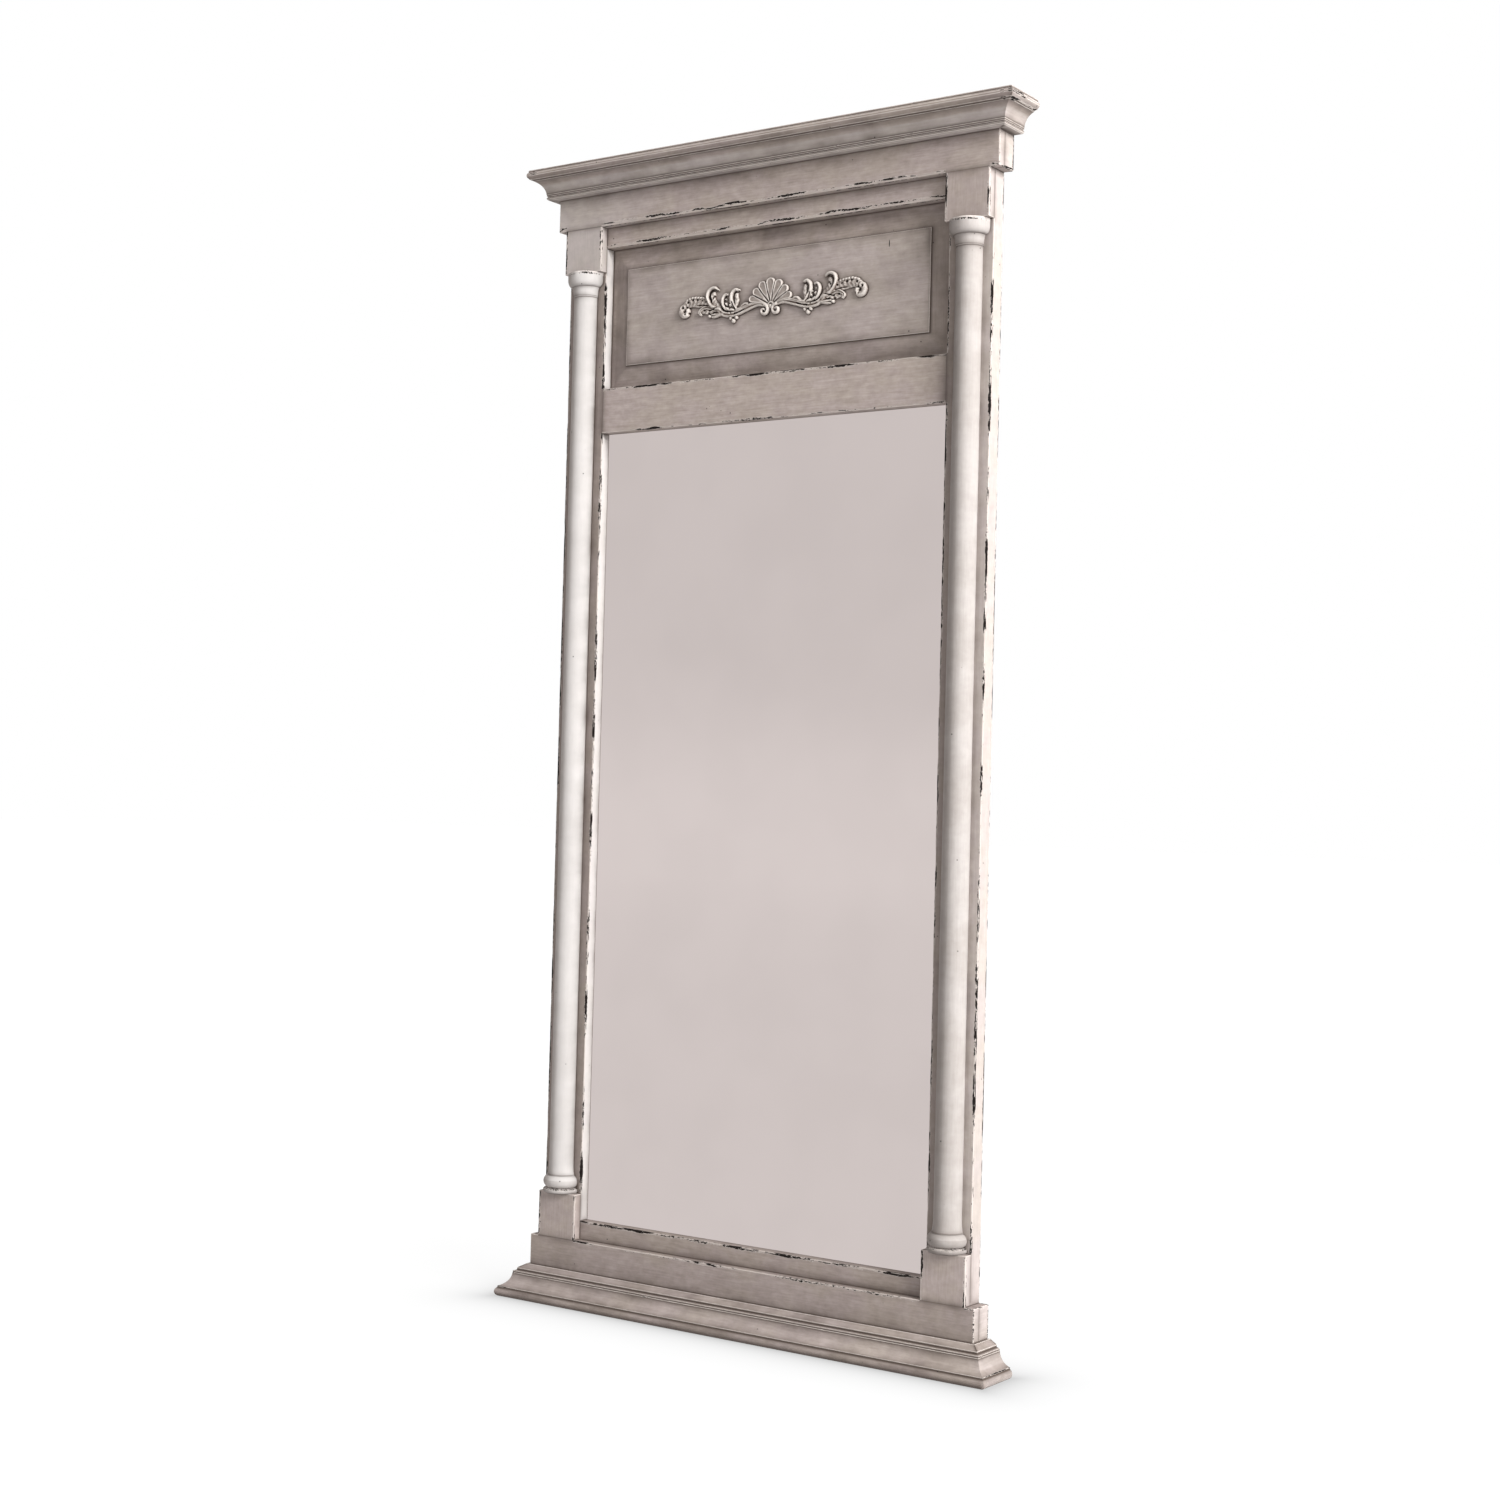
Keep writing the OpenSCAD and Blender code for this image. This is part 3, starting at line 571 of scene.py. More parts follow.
def split(body, place, normal, tolerance=DOUBLES, clear=False):
    """Cuts a bmesh by a plane and returns the new edges; clear takes off what lies beyond it."""
    everything = body.verts[:] + body.edges[:] + body.faces[:]
    found = bmesh.ops.bisect_plane(body, geom=everything, dist=tolerance, plane_co=place,
                                   plane_no=normal, clear_outer=clear)
    return [g for g in found["geom_cut"] if isinstance(g, bmesh.types.BMEdge)]


def flat_backed(body, level, tolerance=DOUBLES):
    """Takes off what lies behind a level of y, and closes the cut."""
    rim = split(body, (0, level, 0), (0, 1, 0), tolerance, clear=True)
    bmesh.ops.triangle_fill(body, use_beauty=True, edges=rim)
    loose = [v for v in body.verts if not v.link_faces]
    bmesh.ops.delete(body, geom=loose, context="VERTS")
    bmesh.ops.recalc_face_normals(body, faces=body.faces)


def merged(node):
    """A CAD node's mesh with its doubles merged and its flat faces whole."""
    body = opened(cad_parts[node].data)
    bmesh.ops.dissolve_limit(body, angle_limit=math.radians(0.4), verts=body.verts,
                             edges=body.edges)
    return body


def seen_box(node):
    """A node's box without the tongues and tenons that lie inside its neighbours."""
    low, high = (Vector(c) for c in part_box(node))
    if node in RAILS:
        low.x, high.x = -opening_x, opening_x
    if node == "raised_panel":
        low.y = glass_y
    return low, high


def neighbours(node):
    """The seen boxes of the pieces that touch a node, as arrays of low and high corners."""
    family = node.rsplit("_", 1)[0]
    low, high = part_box(node)
    names = [n for n in (*BOARDS, *MOULDINGS, "raised_panel", "mirror_glass", "back_board")
             if n != node and not (node in MOULDINGS and n.startswith(family))]
    boxes = [seen_box(n) for n in names]
    near = [(a, b) for a, b in boxes
            if all(a[i] < high[i] + MM and b[i] > low[i] - MM for i in range(3))]
    return np.array([a for a, b in near]), np.array([b for a, b in near])


def wear_of(node, normals):
    """How far from an arris its chips lie, in mm, and how many there are."""
    front, up = normals[:, 1].min() < -FACING, normals[:, 2].sum()
    if node in MOULDINGS or node in ("raised_panel", "cornice_cap"):
        return 0.5, 0.12
    if node == "mid_rail" and up < -FACING:
        return 1.4, 0.85
    if "block" in node:
        return (2.2, 0.95) if abs(up) < FACING else (0.8, 0.35)
    if front and up < -FACING:
        return (1.0, 0.3) if node.startswith("base") else (4.5, 1.0)
    if front and up > FACING:
        return (1.6, 0.85) if node == "base_board" else (1.7, 1.0)
    return (0.9, 0.6) if node in ("frieze_board", "base_board") else (1.4, 0.95)


def find_arrises(node, mesh, boxes):
    """The convex arrises along an axis that lie open, and the concave corners, as segments."""
    low, high = boxes
    arrises, corners = [], []
    for edge in mesh.edges:
        if len(edge.link_faces) != 2:
            continue
        turn = edge.calc_face_angle_signed(0.0)
        start, end = (np.array(v.co) for v in edge.verts)
        length = np.linalg.norm(end - start)
        if abs(turn) < math.radians(20) or length < 6 * MM:
            continue
        along = (end - start) / length
        if turn < 0 or abs(along).max() < 0.999:
            corners.append((start, end, 0.0 if turn < 0 else 1.0))
            continue
        normals = np.array([f.normal for f in edge.link_faces])
        places = np.arange(0, length + PROBES, PROBES)
        points = start + along * np.minimum(places, length)[:, None]
        covered = np.zeros(len(points), bool)
        for offset in (normals[0] + normals[1], normals[0] - normals[1], normals[1] - normals[0]):
            probe = (points + offset * MM)[:, None]
            covered |= ((probe > low) & (probe < high)).all(2).any(1)
        if not covered.all():
            arrises.append(Arris(start, along, length, normals, ~covered, *wear_of(node, normals)))
    return arrises, corners


def cut(mesh, axis, places, low, high):
    """Cuts a mesh by planes square to one axis, leaving out planes that nearly coincide."""
    normal = Vector([1.0 if i == axis else 0.0 for i in range(3)])
    last = low[axis]
    for place in sorted(places):
        if place - last >= LEAST_CUT and place <= high[axis] - LEAST_CUT:
            last = place
            split(mesh, normal * place, normal)


def cut_near(mesh, arrises, boxes, extra, step, box):
    """Cuts a mesh along its arrises, its neighbours' borders and every step of its length."""
    low, high = box
    places = [set(p) for p in extra]
    for arris in arrises:
        for normal in arris.normals:
            axis = int(abs(normal).argmax())
            places[axis].update(arris.start[axis] - normal[axis] * inset * MM
                                for inset in ARRIS_CUTS)
    for corner in (*boxes[0], *boxes[1]):
        for axis in range(3):
            if low[axis] + MM < corner[axis] < high[axis] - MM:
                places[axis].update(corner[axis] + inset * MM for inset in BORDER_CUTS)
    size = high - low
    longest = max(range(3), key=lambda i: size[i])
    places[longest].update(np.arange(low[longest] + step, high[longest], step))
    for axis in sorted(range(3), key=lambda i: -len(places[i])):
        cut(mesh, axis, places[axis], low, high)


def along_arris(points, arris):
    """Each point's offset from an arris's start, its run along it, and whether it is open there."""
    offset = points - arris.start
    run = offset @ arris.along
    index = np.clip(np.round(run / PROBES).astype(int), 0, len(arris.open) - 1)
    return offset, run, (run > -MM) & (run < arris.length + MM) & arris.open[index]


def arris_distances(points, arrises):
    """For each point the distance to the nearest open arris in mm, with its band and chips."""
    edge = np.full(len(points), NO_LINE)
    band, chips = np.zeros(len(points)), np.zeros(len(points))
    for arris in arrises:
        offset, run, beside = along_arris(points, arris)
        away = np.linalg.norm(offset - run[:, None] * arris.along, axis=1) / MM
        near = beside & (away < edge)
        edge[near], band[near], chips[near] = away[near], arris.band, arris.chips
    return edge, band, chips


def crease_distances(points, normals, corners, boxes, columns):
    """For each point the distance to the nearest corner or neighbour in mm."""
    crease = np.full(len(points), NO_LINE)
    for start, end, lift in corners:
        way = end - start
        share = np.clip((points - start) @ way / (way @ way), 0, 1)
        away = np.linalg.norm(points - start - share[:, None] * way, axis=1) / MM + lift
        crease = np.minimum(crease, away)
    lifted = points + normals * MM
    for low, high in zip(*boxes):
        gap = np.maximum(0, np.maximum(low - lifted, lifted - high))
        crease = np.minimum(crease, np.linalg.norm(gap, axis=1) / MM)
    for axis_x, axis_y, heights, radii in columns:
        girth = np.interp(lifted[:, 2], heights, radii, left=0, right=0)
        gap = np.hypot(lifted[:, 0] - axis_x, lifted[:, 1] - axis_y) - girth
        facing = (normals[:, 1] < -FACING) & (girth > 0)
        crease = np.where(facing, np.minimum(crease, np.maximum(gap, 0) / MM), crease)
    return crease


def rounded(points, arrises, radius, wear):
    """The points with the open arrises rounded and chipped; wear only takes wood away."""
    moved = points.copy()
    for count, arris in enumerate(arrises):
        first, second = arris.normals
        if abs(first @ second) > 0.2:
            continue
        offset, run, near = along_arris(points, arris)
        seed = wear.seed + count
        knocked = np.maximum(0, wander(run, KNOCK_PERIOD, seed + 500) - KNOCK_LEVEL) / 0.28
        swell = wear.wander * wander(run, WEAR_PERIOD, seed)
        reach = radius + swell + wear.chip * arris.chips * knocked
        insets = -(offset @ second), -(offset @ first)
        for side, across, down in ((0, second, first), (1, first, second)):
            inset, depth = insets[side], insets[1 - side]
            least = ON_FACE if side else -ON_FACE
            on = near & (abs(depth) < ON_FACE) & (inset > least) & (inset < reach)
            angle = math.pi / 4 * (1 - inset[on] / reach[on])
            inward = inset[on] - reach[on] * (1 - np.sin(angle))
            sink = reach[on] * (1 - np.cos(angle))
            moved[on] += inward[:, None] * across - sink[:, None] * down
    return moved


def column_profile(node):
    """A column's axis, and its radius at each height, read from the CAD node."""
    low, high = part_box(node)
    points = np.array([v.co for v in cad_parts[node].data.vertices])
    axis_x = (low.x + high.x) / 2
    axis_y = low.y + (high.x - low.x) / 2
    radii = {}
    for point in points[points[:, 1] < face_y - 2 * MM]:
        height = round(float(point[2]), 5)
        radius = math.hypot(point[0] - axis_x, point[1] - axis_y)
        radii[height] = max(radius, radii.get(height, 0.0))
    heights = sorted(radii)
    return axis_x, axis_y, np.array(heights), np.array([radii[h] for h in heights])


def added(name, data):
    """A new object in the scene."""
    item = bpy.data.objects.new(name, data)
    bpy.context.scene.collection.objects.link(item)
    return item


def give_finishes(mesh, finishes, pick=None):
    """Fills a mesh's slots with finishes; pick gives each face's number among them."""
    mesh.materials.clear()
    for name in finishes:
        mesh.materials.append(finish_of(name))
    if pick:
        numbers = pick(read(mesh.polygons, "normal", 3)).astype(np.int32)
        mesh.polygons.foreach_set("material_index", numbers)


def place_piece(name, mesh, nodes, body="frame", sharp=34):
    """Adds a finished mesh that stands for CAD nodes and rides on their body."""
    mesh.shade_smooth()
    mesh.set_sharp_from_angle(angle=math.radians(sharp))
    piece = added(name, mesh)
    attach(piece, body)
    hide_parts(*nodes)
    return piece


def board_painted_light(node):
    """A function that gives each point of a piece its painted light and shade: above 1 paler, below
    1 darker.
    """
    # Painted light and shade over whole pieces: the base board and bottom rail darker, the upper
    # left block paler.
    even = {"base_board": 0.80, "bottom_rail": 0.82, "frieze_board": 0.98, "upper_block_left": 1.22,
            "upper_block_right": 0.92}.get(node, 1.0)
    left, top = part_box(node)[0].x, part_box(node)[1].z

    def tone(points, normals):
        x, z = points[:, 0], points[:, 2]
        front, shade = normals[:, 1] < -FACING, 1.0
        # Painted shade under the base moulding's nose and painted highlight on its upper part.
        if node.startswith("base_moulding"):
            shade = np.interp(z / MM, (0, 4, 8, 12), (0.10, 0.24, 0.80, 1.04))
        # Painted light: the cornice paler from 26 to 80 mm below its top.
        elif node in MOULDINGS:
            shade = np.interp((top - z) / MM, (20, 26, 80, 90), (0.94, 1.20, 1.20, 1.05))
        # Painted light towards the frieze's left end.
        elif node == "frieze_board":
            shade = np.interp(x, (left, left + 0.3), (1.22, 1.0))
        # Painted shade on the left stile's outer strip and painted light on the right one's.
        elif node.startswith("stile"):
            outer = (abs(x) > opening_x + OUTER_STRIP) & front
            shade = np.where(outer, 0.68 if node == "stile_left" else 1.12, 1.0)
        # Painted light on the sides that face the right, at the right.
        lit = (normals[:, 0] > FACING) & (x > opening_x + 30 * MM)
        shade = np.where(lit, 1.12, even * shade)
        # Painted shade on the stiles' inner strips beside the columns and painted light on the
        # reveals.
        inner = node.startswith("stile") & (abs(x) < opening_x + INNER_STRIP)
        lit_reveal = inner & (abs(normals[:, 0]) > FACING)
        return np.where(inner & front, 0.68, np.where(lit_reveal, 1.5, shade))

    return tone


def worn_piece(node, finishes, pick, radius=None, extra=((), (), ()), step=None, onto=None,
               tone=None):
    """A CAD node's copy with worn arrises. pick gives each face's number in finishes."""
    wear = bpy.context.scene.mirror_wear
    boxes = neighbours(node)
    cutter = merged(node)
    arrises, corners = find_arrises(node, cutter, boxes)
    cut_near(cutter, arrises if node not in MOULDINGS else [], boxes, extra, step or wear.step,
             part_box(node))
    mesh = closed(cutter, bpy.data.meshes.new(node + "_worn"))
    points, normals = coordinates(mesh), read(mesh.vertex_normals, "vector", 3)
    edge, band, chips = arris_distances(points, arrises)
    side = node.rsplit("_", 1)[-1]
    # Beside the columns the stiles and blocks take painted shade.
    by_column = node.startswith(("stile", "upper", "lower"))
    columns = [column_profile("column_" + side)] if by_column else []
    crease = crease_distances(points, normals, corners, boxes, columns)
    if node in MOULDINGS:
        crease *= MOULDED_CREASE
        edge = edge * MOULDED_EDGE
        chips = np.where(abs(points[:, 0]) > cad_box[1].x - MITRED, MITRE_CHIPS, chips)
    if onto is not None:
        # The carving's outline counts as a crease: glaze and painted shade round it on the panel.
        crease = np.minimum(crease * PANEL_CREASE, onto(points) * 0.75 + 0.4)
        edge = edge * PANEL_EDGE
    # Painted light and shade for each point.
    shade = (tone or board_painted_light(node))(points, normals)
    for name, values in zip(WEAR_AND_SHADE_MARKS, (edge, crease, band, chips, shade)):
        set_attribute(mesh, name, values)
    give_finishes(mesh, finishes, pick)
    move_points(mesh, rounded(points, arrises, radius or wear.radius, wear))
    mesh.update()
    place_piece(node + "_worn", mesh, [node]).visible_glossy = False


def back_is_raw(normals):
    """Faces towards the wall take the second finish."""
    return (normals[:, 1] > FACING).astype(int)


class MIRROR_OT_boards(bpy.types.Operator):
    """Stiles, rails, boards, blocks and cap, with worn and chipped arrises"""

    bl_idname = "mirror.boards"
    bl_label = "Boards"

    def execute(self, context):
        for node in BOARDS:
            way = "upright" if node in UPRIGHT else "level"
            worn_piece(node, ("paint_" + way, "raw_" + way), back_is_raw)
        return {"FINISHED"}


class MIRROR_OT_mouldings(bpy.types.Operator):
    """Cornice and base moulding, with glaze and painted shade in the grooves and rubbed fillets
    with painted highlights
    """

    bl_idname = "mirror.mouldings"
    bl_label = "Mouldings"

    def execute(self, context):
        wear = context.scene.mirror_wear
        for node in MOULDINGS:
            low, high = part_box(node)
            levels = np.arange(low.z + 1.4 * MM, high.z, 1.4 * MM)
            reaches = np.arange(low.y + 1.7 * MM, high.y, 1.7 * MM) if "front" in node else ()
            worn_piece(node, ("paint_level", "raw_level"), back_is_raw, wear.fine_radius,
                       ((), reaches, levels))
        return {"FINISHED"}


class MIRROR_OT_panel(bpy.types.Operator):
    """Raised and fielded panel, with upright grain on its side bevels"""

    bl_idname = "mirror.panel"
    bl_label = "Raised panel"

    def execute(self, context):
        low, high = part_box("raised_panel")
        flat = [v.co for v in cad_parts["raised_panel"].data.vertices
                if v.co.y < field_y + 0.1 * MM]
        field = [Vector([limit(c[i] for c in flat) for i in range(3)]) for limit in (min, max)]
        covered = np.concatenate([relief.footprint(flip) for relief, node, flip in reliefs()])
        tree = KDTree(len(covered))
        for place in covered:
            tree.insert(place, 0)
        tree.balance()

        def onto(points):
            """Each point's distance in mm to the carving."""
            return np.array([tree.find(p)[2] / MM if p[1] < field_y + MM else NO_LINE
                             for p in points])

        def pick(normals):
            side = (abs(normals[:, 0]) > 0.05) & (normals[:, 1] < 0)
            return np.where(side, 1, 2 * back_is_raw(normals))

        def tone(points, normals):
            """Painted light and shade: the field a little paler, the side bevels darker, most of
            all the left one, and the top and bottom ones a little darker.
            """
            across = (abs(points[:, 0]) - field[1].x) / MM
            over = (points[:, 2] - field[1].z) / MM
            under = (field[0].z - points[:, 2]) / MM
            past_mitre = across - np.maximum(np.maximum(over, under), 0)
            beside = smooth_step(np.clip((past_mitre + 12) / 24, 0, 1)) * (across > -1)
            level = 0.10 * (over > 0) + 0.05 * (under > 0)
            return 1.07 - level - beside * np.where(points[:, 0] < 0, 0.26, 0.20)

        first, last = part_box("scroll_onlay_right")
        close, fine = 8 * MM, 2.5 * MM
        rows = np.concatenate([np.arange(low.z + 4 * MM, high.z, 4 * MM),
                               np.arange(first.z - close, last.z + close, fine)])
        columns = np.arange(-last.x - close, last.x + close, fine)
        worn_piece("raised_panel", ("paint_level", "paint_upright", "raw_level"), pick,
                   0.4 * MM, (columns, (), rows), 6 * MM, onto, tone)
        return {"FINISHED"}


# Turned columns

# For each column: how the distance to the frame's face counts for the painted shade on its inner
# and its outer side, then the normal's x where its painted shade starts and where it ends, and how
# dark it is
COLUMN_SHADES = {"column_left": (0.6, 1.0, -0.6, 0.1, 0.66),
                 "column_right": (0.4, 5.0, -0.3, 0.45, 0.74)}
HEAD, FOOT = 12 * MM, 24 * MM  # parts of a column that are chipped
CRACK = 9 * MM  # height of the crack in a column's foot
RING_BESIDE, RING_GAP = 0.9, 0.35  # mm from a profile's corner to its extra rings, least gap
STRAY_PERIOD, DENT_PERIOD = 150 * MM, 11 * MM  # of a column's unevenness and of its knocks
DENT = 1.5 * MM  # depth of a knock in a column's ring


class Growth(Maker):
    """A geometry tree with named inputs, of which the first is the mesh it starts from."""

    def __init__(self, name, **kinds):
        group = bpy.data.node_groups.new(name, "GeometryNodeTree")
        super().__init__(group)
        for label, kind in kinds.items():
            group.interface.new_socket(label, in_out="INPUT", socket_type="NodeSocket" + kind)
        group.interface.new_socket("Made", in_out="OUTPUT", socket_type="NodeSocketGeometry")
        entry = self.add("NodeGroupInput").socket.node
        self.inputs = [Value(self, s) for s in entry.outputs[:len(kinds)]]

    def finished(self, shape, material):
        """The tree, which makes instances real and gives the shape its material."""
        real = self.add("GeometryNodeRealizeInstances", {"Geometry": shape})
        done = self.add("GeometryNodeSetMaterial", {"Geometry": real, "Material": material})
        self.add("NodeGroupOutput", {"Made": done})
        return self.tree


def corner_distances(heights, radii, convex):
    """Along a profile, the distance in mm from each point to the nearest sharp corner."""
    line = np.stack([radii, heights], 1)
    run = arc_lengths(line)
    way = np.diff(line, axis=0)
    turn = way[:-1, 0] * way[1:, 1] - way[:-1, 1] * way[1:, 0]
    size = np.linalg.norm(way, axis=1)
    sine = turn / np.maximum(size[:-1] * size[1:], 1e-12)
    sharp = (sine > 0.5) if convex else (sine < -0.35)
    at = run[1:-1][sharp]
    return np.abs(run[:, None] - at[None]).min(1) / MM if len(at) else np.full(len(run), NO_LINE)


def turning_tree():
    """Geometry nodes that turn a column: each point of the input line carries its girth."""
    tree = Growth("turned_column", Line="Geometry", Sides="Int", Finish="Material")
    line, sides, material = tree.inputs
    girth = tree.add("GeometryNodeInputNamedAttribute", {"Name": "girth"}, "Attribute",
                     data_type="FLOAT")
    curve = tree.add("GeometryNodeMeshToCurve", {"Mesh": line})
    ring = tree.add("GeometryNodeCurvePrimitiveCircle", {"Resolution": sides, "Radius": 1.0})
    skin = tree.add("GeometryNodeCurveToMesh",
                    {"Curve": curve, "Profile Curve": ring, "Scale": girth, "Fill Caps": True})
    return tree.finished(skin, material)


def evaluated(item):
    """The mesh that an object's modifiers make."""
    graph = bpy.context.evaluated_depsgraph_get()
    return bpy.data.meshes.new_from_object(item.evaluated_get(graph))


def grown(group, start, inputs):
    """The mesh that a geometry tree makes from another, with the tree's inputs set by name."""
    source = added(start.name, start)
    modifier = source.modifiers.new("tree", "NODES")
    modifier.node_group = group
    for item in group.interface.items_tree:
        if item.in_out == "INPUT" and item.name in inputs:
            modifier[item.identifier] = inputs[item.name]
    source.update_tag()
    mesh = evaluated(source)
    bpy.data.objects.remove(source)
    return mesh


def column_line(node, step):
    """A column's axis as a chain of points that carry girth and distances to the corners."""
    axis_x, axis_y, heights, radii = column_profile(node)
    extra = np.arange(heights[0] + step, heights[-1], step)
    extra = [h for h in extra if np.abs(heights - h).min() > 2 * MM]
    close = [h + s * MM for h in heights[1:-1] for s in (-RING_BESIDE, RING_BESIDE)
             if np.abs(heights - h - s * MM).min() > RING_GAP * MM]
    levels = np.unique(np.concatenate([heights, extra, close]))
    girths = np.interp(levels, heights, radii)
    mesh = bpy.data.meshes.new(node + "_line")
    mesh.from_pydata([(axis_x, axis_y, h) for h in levels],
                     [(i, i + 1) for i in range(len(levels) - 1)], [])
    edge = corner_distances(levels, girths, True)
    crease = corner_distances(levels, girths, False)
    crack = np.abs(levels - heights[0] - CRACK) / MM
    high = levels > heights[-1] - HEAD
    low = levels < heights[0] + FOOT
    set_attribute(mesh, "girth", girths)
    set_attribute(mesh, "edge", np.where(low, crack, np.where(high, edge, NO_LINE)))
    # Creases of the turned profile, for glaze and painted shade in its hollows.
    set_attribute(mesh, "crease", np.where(low, crease * 0.6, crease * 1.5 + 0.7))
    set_attribute(mesh, "band", np.where(high, 6.0, 0.5))
    set_attribute(mesh, "chips", np.where(high, 1.0, np.where(low, 0.92, 0.0)))
    # Painted light and shade: the foot darker and the left column paler.
    set_attribute(mesh, "tone", np.where(low, 0.9, 1.0) * (1.36 if node == "column_left" else 1.0))
    return mesh, axis_x, axis_y


def turned(node, count, group, sizes):
    """A half column's mesh and its axis's x: turned whole, made uneven, and cut off at the face."""
    line, axis_x, axis_y = column_line(node, sizes.step)
    whole = grown(group, line, {"Sides": sizes.sides, "Finish": finish_of("paint_column")})
    points = coordinates(whole)
    offset = points[:, :2] - (axis_x, axis_y)
    angle = np.arctan2(offset[:, 1], offset[:, 0])
    at_arris = attribute(whole, "edge") < 1.5
    stray = wander(points[:, 2] + angle * 0.07, STRAY_PERIOD, 31 + count)
    knock = wander(points[:, 2] * 2 + angle * 0.06, DENT_PERIOD, 41 + count)
    loss = sizes.unevenness * stray + DENT * np.maximum(0, knock - 0.7) / 0.3 * at_arris
    reach = np.maximum(np.linalg.norm(offset, axis=1), 1e-6)
    points[:, :2] -= offset / reach[:, None] * np.minimum(loss, reach * 0.3)[:, None]
    move_points(whole, points)
    body = opened(whole)
    flat_backed(body, face_y)
    return closed(body, whole), axis_x


def paint_column_shade(mesh, node, axis_x):
    """Paints shade in the corners beside a column and on its far side."""
    within, without, dark, pale, least = COLUMN_SHADES[node]
    points = coordinates(mesh)
    inner = (points[:, 0] - axis_x) * math.copysign(1, axis_x) < 0
    beside = (face_y - points[:, 1]) / MM * np.where(inner, within, without)
    set_attribute(mesh, "crease", np.minimum(attribute(mesh, "crease"), beside))
    facing = read(mesh.vertex_normals, "vector", 3)[:, 0]
    shade = np.interp(facing, (dark, pale), (least, 1.0)).astype(np.float32)
    set_attribute(mesh, "tone", attribute(mesh, "tone") * shade)


class MIRROR_OT_columns(bpy.types.Operator):
    """Turned half columns, slightly uneven, with chipped rings"""

    bl_idname = "mirror.columns"
    bl_label = "Columns"

    def execute(self, context):
        group = turning_tree()
        for count, node in enumerate(COLUMNS):
            mesh, axis_x = turned(node, count, group, context.scene.mirror_column)
            paint_column_shade(mesh, node, axis_x)
            give_finishes(mesh, ("paint_column",))
            piece = place_piece(node + "_turned", mesh, [node], sharp=40)
            piece.visible_glossy = False
        return {"FINISHED"}


# The carving, drawn in mm from the middle of the panel

SUNK = -3.0  # mm, how far the relief lies under the field where nothing is carved
BED = 0.6  # mm, the least height that a groove leaves
FLANK = 5  # slope of a member's sides
SEAM, SEAM_RISE = 0.5, 0.12  # mm, how near two members' heights have to be to swell, and how much
HOLLOW_REACH = 2.2  # mm, over which the surroundings of a point are averaged


def smooth_line(points, spacing=0.6):
    """A smooth line through points, with steps of about the spacing."""
    p = np.array(points, float)
    p = np.vstack([2 * p[0] - p[1], p, 2 * p[-1] - p[-2]])
    pieces = []
    for a, b, c, d in zip(p, p[1:], p[2:], p[3:]):
        t = np.linspace(0, 1, max(3, int(np.linalg.norm(c - b) / spacing)), endpoint=False)[:, None]
        pieces.append(0.5 * (2 * b + (c - a) * t + (2 * a - 5 * b + 4 * c - d) * t * t
                             + (3 * b - a - 3 * c + d) * t ** 3))
    return np.vstack([*pieces, p[-2:-1]])


def spiral(centre, start, end, start_angle, end_angle, count=40):
    """Points of a spiral between two radii and two angles in degrees."""
    share = np.linspace(0, 1, count)
    angle = np.radians(start_angle + (end_angle - start_angle) * share)
    radius = start + (end - start) * share
    return np.array(centre) + radius[:, None] * np.stack([np.cos(angle), np.sin(angle)], 1)


def dome(u, run):
    return np.sqrt(np.clip(1 - u * u, 0, 1))


def grooved(u, run):
    """A stem with a soft channel along its middle."""
    return dome(u, run) * (1 - 0.42 * np.exp(-((u - 0.1) / 0.25) ** 2))


def petal(u, run):
    """A flute of the shell: a gently rounded face between two fine rims."""
    side = np.sqrt(np.clip(1 - (np.maximum(u - 0.86, 0) / 0.14) ** 2, 0, 1))
    return side * (0.80 + 0.05 * (1 - u * u) + 0.20 * np.exp(-((u - 0.80) / 0.11) ** 2))


def lobed(u, run):
    """A broad leaf with soft lobes across it."""
    return dome(u, run) ** 0.6 * (0.91 + 0.09 * np.cos(2 * math.pi * (run / 8.5 - 0.5 * u)))


def beaded(u, run):
    """A row of beads."""
    return dome(u, run) * (0.62 + 0.38 * np.abs(np.sin(math.pi * run / 6.2)))


def spread(values, share):
    """Values given evenly along a line, read at shares of its length."""
    return np.interp(share, np.linspace(0, 1, len(values)), values)


